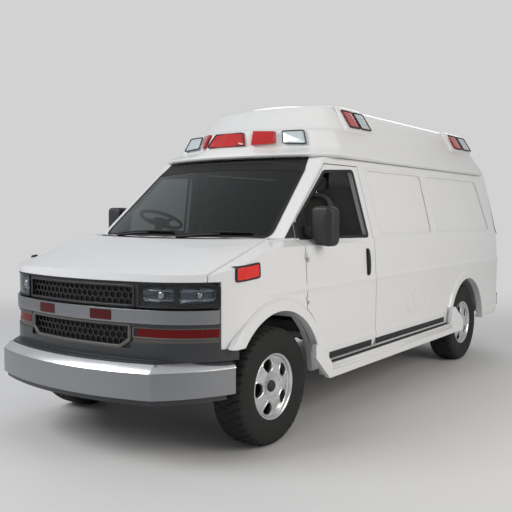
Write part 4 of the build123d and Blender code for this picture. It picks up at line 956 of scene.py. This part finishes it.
def buildDash():
    # dash cover: rises 12 over its depth, with a hump over the instruments and its rear edge rolled down
    u, v = net((-1, 1, 89), (0, 1, 27))
    x = u * dash["halfWidth"]
    front = glassY(x, 1352.0, 60) + 20
    y = front + v * (dash["rear"] - front)
    hump = dash["hump"] * np.exp(-((x - dash["humpX"]) / dash["humpHalf"]) ** 4) * ramp(y, 330, 130) ** 1.5
    z = dash["foot"] + 12 * v + hump - 60 * ramp(v, 0.93, 0.07) ** 2
    giveWall(gridPiece("dashCover", xyz(x, y, z), dashVinyl, outward=(0, 0, 1), slot="dashboard"), dash["wall"])
    (ventY, ventZ), (stepY, stepZ) = dash["ventAt"], dash["ventStep"]
    for index, ventX in enumerate(dash["vents"]):
        across = np.linspace(ventX - dash["ventHalf"], ventX + dash["ventHalf"], 4)
        for row in range(4):
            path = xyz(across, ventY - row * stepY, ventZ - row * stepZ)
            trim(f"dashVent{index}{row}", path, (0, 1, 0.3), 8, 6, mouldedBlack, closed=False, slot="dashboard")


def buildSteeringWheel():
    # ring: a circle carried round a circle, with finger waves; spokes flow from the hub into the ring
    tilt, up = math.radians(steering["tilt"]), np.array([0, 0, 1])
    rest = {"body": "steering_wheel", "slot": "steering_wheel"}

    def place(local):
        # from the wheel's own plane to its tilted place
        x, y, z = np.moveaxis(np.asarray(local, float), -1, 0)
        return xyz(x, z * math.sin(tilt) - y * math.cos(tilt),
                   z * math.cos(tilt) + y * math.sin(tilt)) + steering["centre"]

    a, b = net(circle(96), circle(14))
    grip = steering["grip"] + 0.7 * np.maximum(np.sin(a * steering["waves"]), 0)
    radius = steering["radius"] + grip * np.cos(b)
    gridPiece("wheelRing", place(xyz(radius * np.cos(a), radius * np.sin(a), grip * np.sin(b))), wheelUrethane,
              wrapRows=True, stands=("steering_wheel",), **rest)
    t, c = np.linspace(0, 1, 14)[:, None], circle(12)
    for index, angle in enumerate(steering["spokes"]):
        ahead = np.array([math.cos(math.radians(angle)), math.sin(math.radians(angle)), 0])
        middle = (ahead * (steering["spokeFrom"] + t * steering["spokeReach"])
                  - up * (steering["spokeSink"] * (1 - t) ** 1.5))
        wide = (steering["spokeHalf"] - steering["spokeTaper"] * np.sin(t * np.pi / 2)) * np.cos(c)
        thick = up * (steering["spokeThick"] * np.sin(c))[None, :, None]
        tube = middle[:, None] + np.cross(up, ahead) * wide[..., None] + thick
        gridPiece(f"wheelSpoke{index}", place(capped(tube)), wheelUrethane, **rest)
    gridPiece("wheelPad", place(softBlock((0, -4, -14), (66, 58, 24), 0.05, 3.2)), dashVinyl, **rest)


bothSides(buildSeat)
buildDash()
buildSteeringWheel()
print("interior built")


# sides, running boards and rear

board = {"low": 441.0, "rail": 452.0, "front": 604.0, "rear": 2860.0, "inner": 1007.5, "edge": 1048.0,
         "grooves": 5, "ribs": (434, 410), "ribX": 1060, "ribEnds": (596, 1500, 2900)}
kick = {"low": 468, "high": 516, "rise": 3.2, "rib": 1.0}
# what carries each length of the kick strip, and its ends
kickSpans = {1: (("front_door_left", 640, 1306), ("van", 1378, 2830)),
             -1: (("front_door_right", 640, 1306), ("side_door_front", 1466, 2032),
                  ("side_door_rear", 2058, 2624), ("van", 2660, 2830))}
crease = {"front": -300, "rear": 340, "low": 940, "high": 1060, "fadeIn": 240, "height": 9.0, "z": 1006,
          "climb": 14, "half": 26, "sink": 1.2}
tail = {"low": 1290, "high": 1880, "back": 4424, "waist": 1700, "lensLow": 1300, "lensHigh": 1690,
        "sweepAt": (822, 4431), "sweepSlope": 0.268}
bumper = {
    "front": circleThrough((-700, -862), (0, -985), (700, -862)), "meet": (700, -862),
    "corner": circleThrough((700, -862), (872, -655), (985, -425)), "end": (985, -425),
    "slope": ((0.4, 587.4), (0.6, 588.0), (25.6, 609.6), (50.6, 631.8), (52.4, 632.6)),    # inset and height
}
recesses = (((1443, 1868), (1522, 1330), (2587, 1330), (2546, 1868)),
            ((2688, 1868), (2733, 1330), (4222, 1330), (4050, 1868)))
fuelFlap = {"y": 2061, "z": 722, "radius": 78}


def buildSideDetails(side):
    # tread pad: its section, with five grooves, drawn along the board from ramp to ramp
    share = np.linspace(0, 1, 61)
    x = board["inner"] + (board["edge"] - board["inner"]) * share
    height = board["rail"] + 4.0 - 2.6 * (np.abs((share * board["grooves"]) % 1 - 0.5) * 2 > 0.4)
    low, rail = board["low"], board["rail"] + 0.3
    section = np.concatenate([[(board["inner"], low)], np.column_stack([x, height]),
                              [(board["edge"], rail), (1027, rail), (1025, low)]])
    grid = xyz(section[:, 0], np.array([[board["front"]], [board["rear"]]]), section[:, 1])
    sidePiece("boardTread", side, capped(grid), mouldedBlack, slot="running_boards", smooth=False)
    for level in board["ribs"]:
        path = xyz(board["ribX"], board["ribEnds"], level)
        sideTrim(f"boardRib{level}", side, path, sideOut, 15, 4, enamelWhite, closed=False,
                 slot="running_boards")
    # ribbed black kick strip along the sill, one length on each door and on the body
    for carrier, start, end in kickSpans[side]:
        y, z = net((start, end, 24), (kick["low"], kick["high"], 25))
        rise = kick["rise"] * np.clip(np.minimum(z - kick["low"], kick["high"] - z) / 3, 0, 1)
        rise = (rise + kick["rib"] * (np.sin(z * 0.8) > 0)) * np.clip(np.minimum(y - start, end - y) / 4, 0, 1)
        slot = carrier if carrier != "van" else f"side_panel_{lowTagOf[side]}"
        sidePiece(f"kickStrip{start}", side, onSide(y, z, -0.3, rise), mouldedBlack, outward=sideOut,
                  body=carrier, slot=slot)


def buildFenderCrease(side):
    # the shoulder line carried on over the fender: a soft swell that grows from nothing at its front
    y, z = net((crease["front"], crease["rear"], 49), (crease["low"], crease["high"], 25))
    start = ramp(y, crease["front"], crease["fadeIn"])
    line = crease["z"] + crease["climb"] * (1 - start)
    swell = crease["height"] * start ** 1.5 * np.exp(-((z - line) / crease["half"]) ** 2)
    sheet = xyz(sideX(y, z) + swell - crease["sink"], y, z)
    sidePiece("fenderCrease", side, sheet, enamelWhite, outward=sideOut, slot=f"fender_{lowTagOf[side]}")


def sweepY(x):
    # y that the opened rear door leaves free at x
    return tail["sweepAt"][1] + tail["sweepSlope"] * (x - tail["sweepAt"][0])


def buildTailLamp(side):
    # upright lamp on the rear corner: at each height a section from its inner edge out to the corner,
    # leaning back towards the corner, under the line that the opened door sweeps
    z = np.linspace(tail["low"], tail["high"], 40)
    outer = np.interp(z, shell["section"][:, 1], shell["section"][:, 0]) - 5
    inner = np.where(z < tail["waist"], np.maximum(880, outer - 80), outer - 14)
    inner = np.minimum(np.maximum(inner, 834), outer - 8)
    plan = [(inner, tail["back"]), (inner, sweepY(inner)),
            ((inner + outer) / 2, (sweepY(inner) + sweepY(outer)) / 2 + 1.5),
            (outer - 4, sweepY(outer)), (outer, sweepY(outer) - 4), (outer, tail["back"])]
    grid = np.stack([xyz(x, y, z) for x, y in plan], 1)
    sidePiece("tailHousing", side, capped(grid), sealRubber, stands=("tail_lamps",))
    # the lit part stands just proud, a little inside the housing's edges
    sheet = grid[(z > tail["lensLow"]) & (z < tail["lensHigh"])][:, 1:4] + (0, 1.2, 0)
    sheet[:, :, 0] += (6, 0, -4)
    sidePiece("tailLens", side, sheet, tailRed, outward=(0, 1, 0), slot="tail_lamps")


def bumperPlan(inset):
    # plan of the bumper's front, drawn in by inset: the long arc, then the corner's arc, mirrored
    (_, fy), fr = bumper["front"]
    (cx, cy), cr = bumper["corner"]
    (meetX, meetY), (endX, endY) = bumper["meet"], bumper["end"]
    x = np.linspace(0, meetX, 40)
    front = np.column_stack([x, fy - np.sqrt((fr - inset) ** 2 - x ** 2)])
    a = np.linspace(np.arctan2(meetY - cy, meetX - cx), np.arctan2(endY - cy, endX - cx), 30)[1:]
    corner = np.column_stack([cx + (cr - inset) * np.cos(a), cy + (cr - inset) * np.sin(a)])
    half = np.concatenate([front, corner])
    return np.concatenate([half[:0:-1] * (-1, 1), half])


def buildOuterTrim():
    # top slope of the bumper, from its face up to the valance, painted bright as a painted highlight of the
    # light on the top
    rows = [xyz(*bumperPlan(inset).T, z) for inset, z in bumper["slope"]]
    gridPiece("bumperSlopePaintedHighlight", np.array(rows), bumperPaintedHighlight, outward=(0, -0.7, 0.7), slot="front_bumper")
    # a soft raised line round each of the two recesses pressed in the left side
    for index, corners in enumerate(recesses):
        path = onSide(*along(roundCorners(corners, 60, 6), 3).T)
        trim(f"panelBead{index}", path, wallOut, 22, 3.0, enamelWhite, slot="side_panel_left")
    # the round edge of the fuel flap
    turn, radius = circle(48), fuelFlap["radius"]
    path = onSide(fuelFlap["y"] + radius * np.cos(turn), fuelFlap["z"] + radius * np.sin(turn))
    trim("fuelFlapEdge", path, sideOut, 9.0, 2.2, enamelWhite, slot="side_panel_left")


bothSides(buildSideDetails, buildFenderCrease, buildTailLamp)
buildOuterTrim()
print("sides built")


# camera, floor and light

studio = {
    "camera": (3.5614, -5.5420, 1.5040), "turn": (86.650, 0.0, 36.112), "lens": 50.0, "sensor": 36.0,
    "floorHalf": 30, "fadeFrom": 3.4, "fadeTo": 9.0, "backdrop": "#D2D2D2", "sky": "#E8EAEE", "skyLight": 0.5,
    # name, place, aim, size, power and colour
    "lights": (("keyLight", (-3.5, -7.0, 6.0), (0, -0.5, 1.0), (5, 4), 470, "#FFFFFF"),
               ("fillLight", (7.5, -1.0, 4.0), (0, 0, 1.0), (5, 4), 270, "#FFF8EE"),
               ("backLight", (-3.0, 8.0, 5.0), (0, 0.5, 1.0), (6, 4), 170, "#FFFFFF")),
}


def floorMaterial():
    # plain pale studio floor with the faintest unevenness
    material, tree, shader, here = startMaterial("floorPale", Roughness=0.65)
    cloud = addNode(tree, "ShaderNodeTexNoise", {"Scale": perMetre(900), "Detail": 2.0}, here)
    paint(tree, shader, ("#CFCFCF", "#D3D3D3"), (cloud, "Fac"))
    # beyond the lit middle the floor runs into the backdrop, so no horizon line shows
    away = addNode(tree, "ShaderNodeVectorMath", {"operation": "LENGTH"}, {0: here["Vector"]})
    reach = {"interpolation_type": "SMOOTHSTEP", "From Min": studio["fadeFrom"], "From Max": studio["fadeTo"]}
    fade = addNode(tree, "ShaderNodeMapRange", reach, {"Value": (away, "Value")})
    path = addNode(tree, "ShaderNodeLightPath")
    seen = addNode(tree, "ShaderNodeMath", {"operation": "MULTIPLY"},
                   {0: (fade, "Result"), 1: (path, "Is Camera Ray")})
    glow = addNode(tree, "ShaderNodeEmission", {"Color": linear(studio["backdrop"]), "Strength": 1.0})
    mixed = addNode(tree, "ShaderNodeMixShader",
                    links={0: (seen, "Value"), 1: (shader, "BSDF"), 2: (glow, "Emission")})
    output = next(node for node in tree.nodes if node.type == "OUTPUT_MATERIAL")
    tree.links.new(mixed.outputs["Shader"], output.inputs["Surface"])
    return material


def addToScene(name, data):
    # an object for its data, in the scene
    thing = bpy.data.objects.new(name, data)
    bpy.context.scene.collection.objects.link(thing)
    return thing


def buildCameraAndFloor():
    # a camera at eye height off the left front corner, and a wide flat floor
    data = bpy.data.cameras.new("studioCamera")
    data.lens, data.sensor_width, data.clip_end = studio["lens"], studio["sensor"], 100.0
    camera = addToScene("studioCamera", data)
    camera.location = studio["camera"]
    camera.rotation_euler = [math.radians(angle) for angle in studio["turn"]]
    bpy.context.scene.camera = camera
    mesh, half = bpy.data.meshes.new("studioFloor"), studio["floorHalf"]
    corners = [(-half, -half, 0), (half, -half, 0), (half, half, 0), (-half, half, 0)]
    mesh.from_pydata(corners, [], [(0, 1, 2, 3)])
    floor = addToScene("studioFloor", mesh)
    mesh.materials.append(floorMaterial())


def buildLights():
    # soft rectangles, each turned from its place towards its aim
    for name, place, aim, size, power, colour in studio["lights"]:
        data = bpy.data.lights.new(name, "AREA")
        data.shape, data.size, data.size_y, data.energy = "RECTANGLE", size[0], size[1], power
        data.color = linear(colour)[:3]
        light = addToScene(name, data)
        light.location = place
        light.rotation_euler = (Vector(aim) - Vector(place)).to_track_quat("-Z", "Y").to_euler()


def buildWorld():
    # the world lights softly, and seen directly or through glass it is the pale backdrop
    world = bpy.data.worlds.new("studioWorld")
    bpy.context.scene.world = world
    world.use_nodes = True
    tree = world.node_tree
    sky = tree.nodes["Background"]
    sky.inputs["Color"].default_value = linear(studio["sky"])
    sky.inputs["Strength"].default_value = studio["skyLight"]
    backdrop = addNode(tree, "ShaderNodeBackground", {"Color": linear(studio["backdrop"]), "Strength": 1.0})
    path = addNode(tree, "ShaderNodeLightPath")
    seen = addNode(tree, "ShaderNodeMath", {"operation": "MAXIMUM"},
                   {0: (path, "Is Camera Ray"), 1: (path, "Is Transmission Ray")})
    mixed = addNode(tree, "ShaderNodeMixShader",
                    links={0: (seen, "Value"), 1: (sky, "Background"), 2: (backdrop, "Background")})
    tree.links.new(mixed.outputs["Shader"], tree.nodes["World Output"].inputs["Surface"])


buildCameraAndFloor()
buildLights()
buildWorld()
bpy.context.scene.view_settings.view_transform = "Standard"
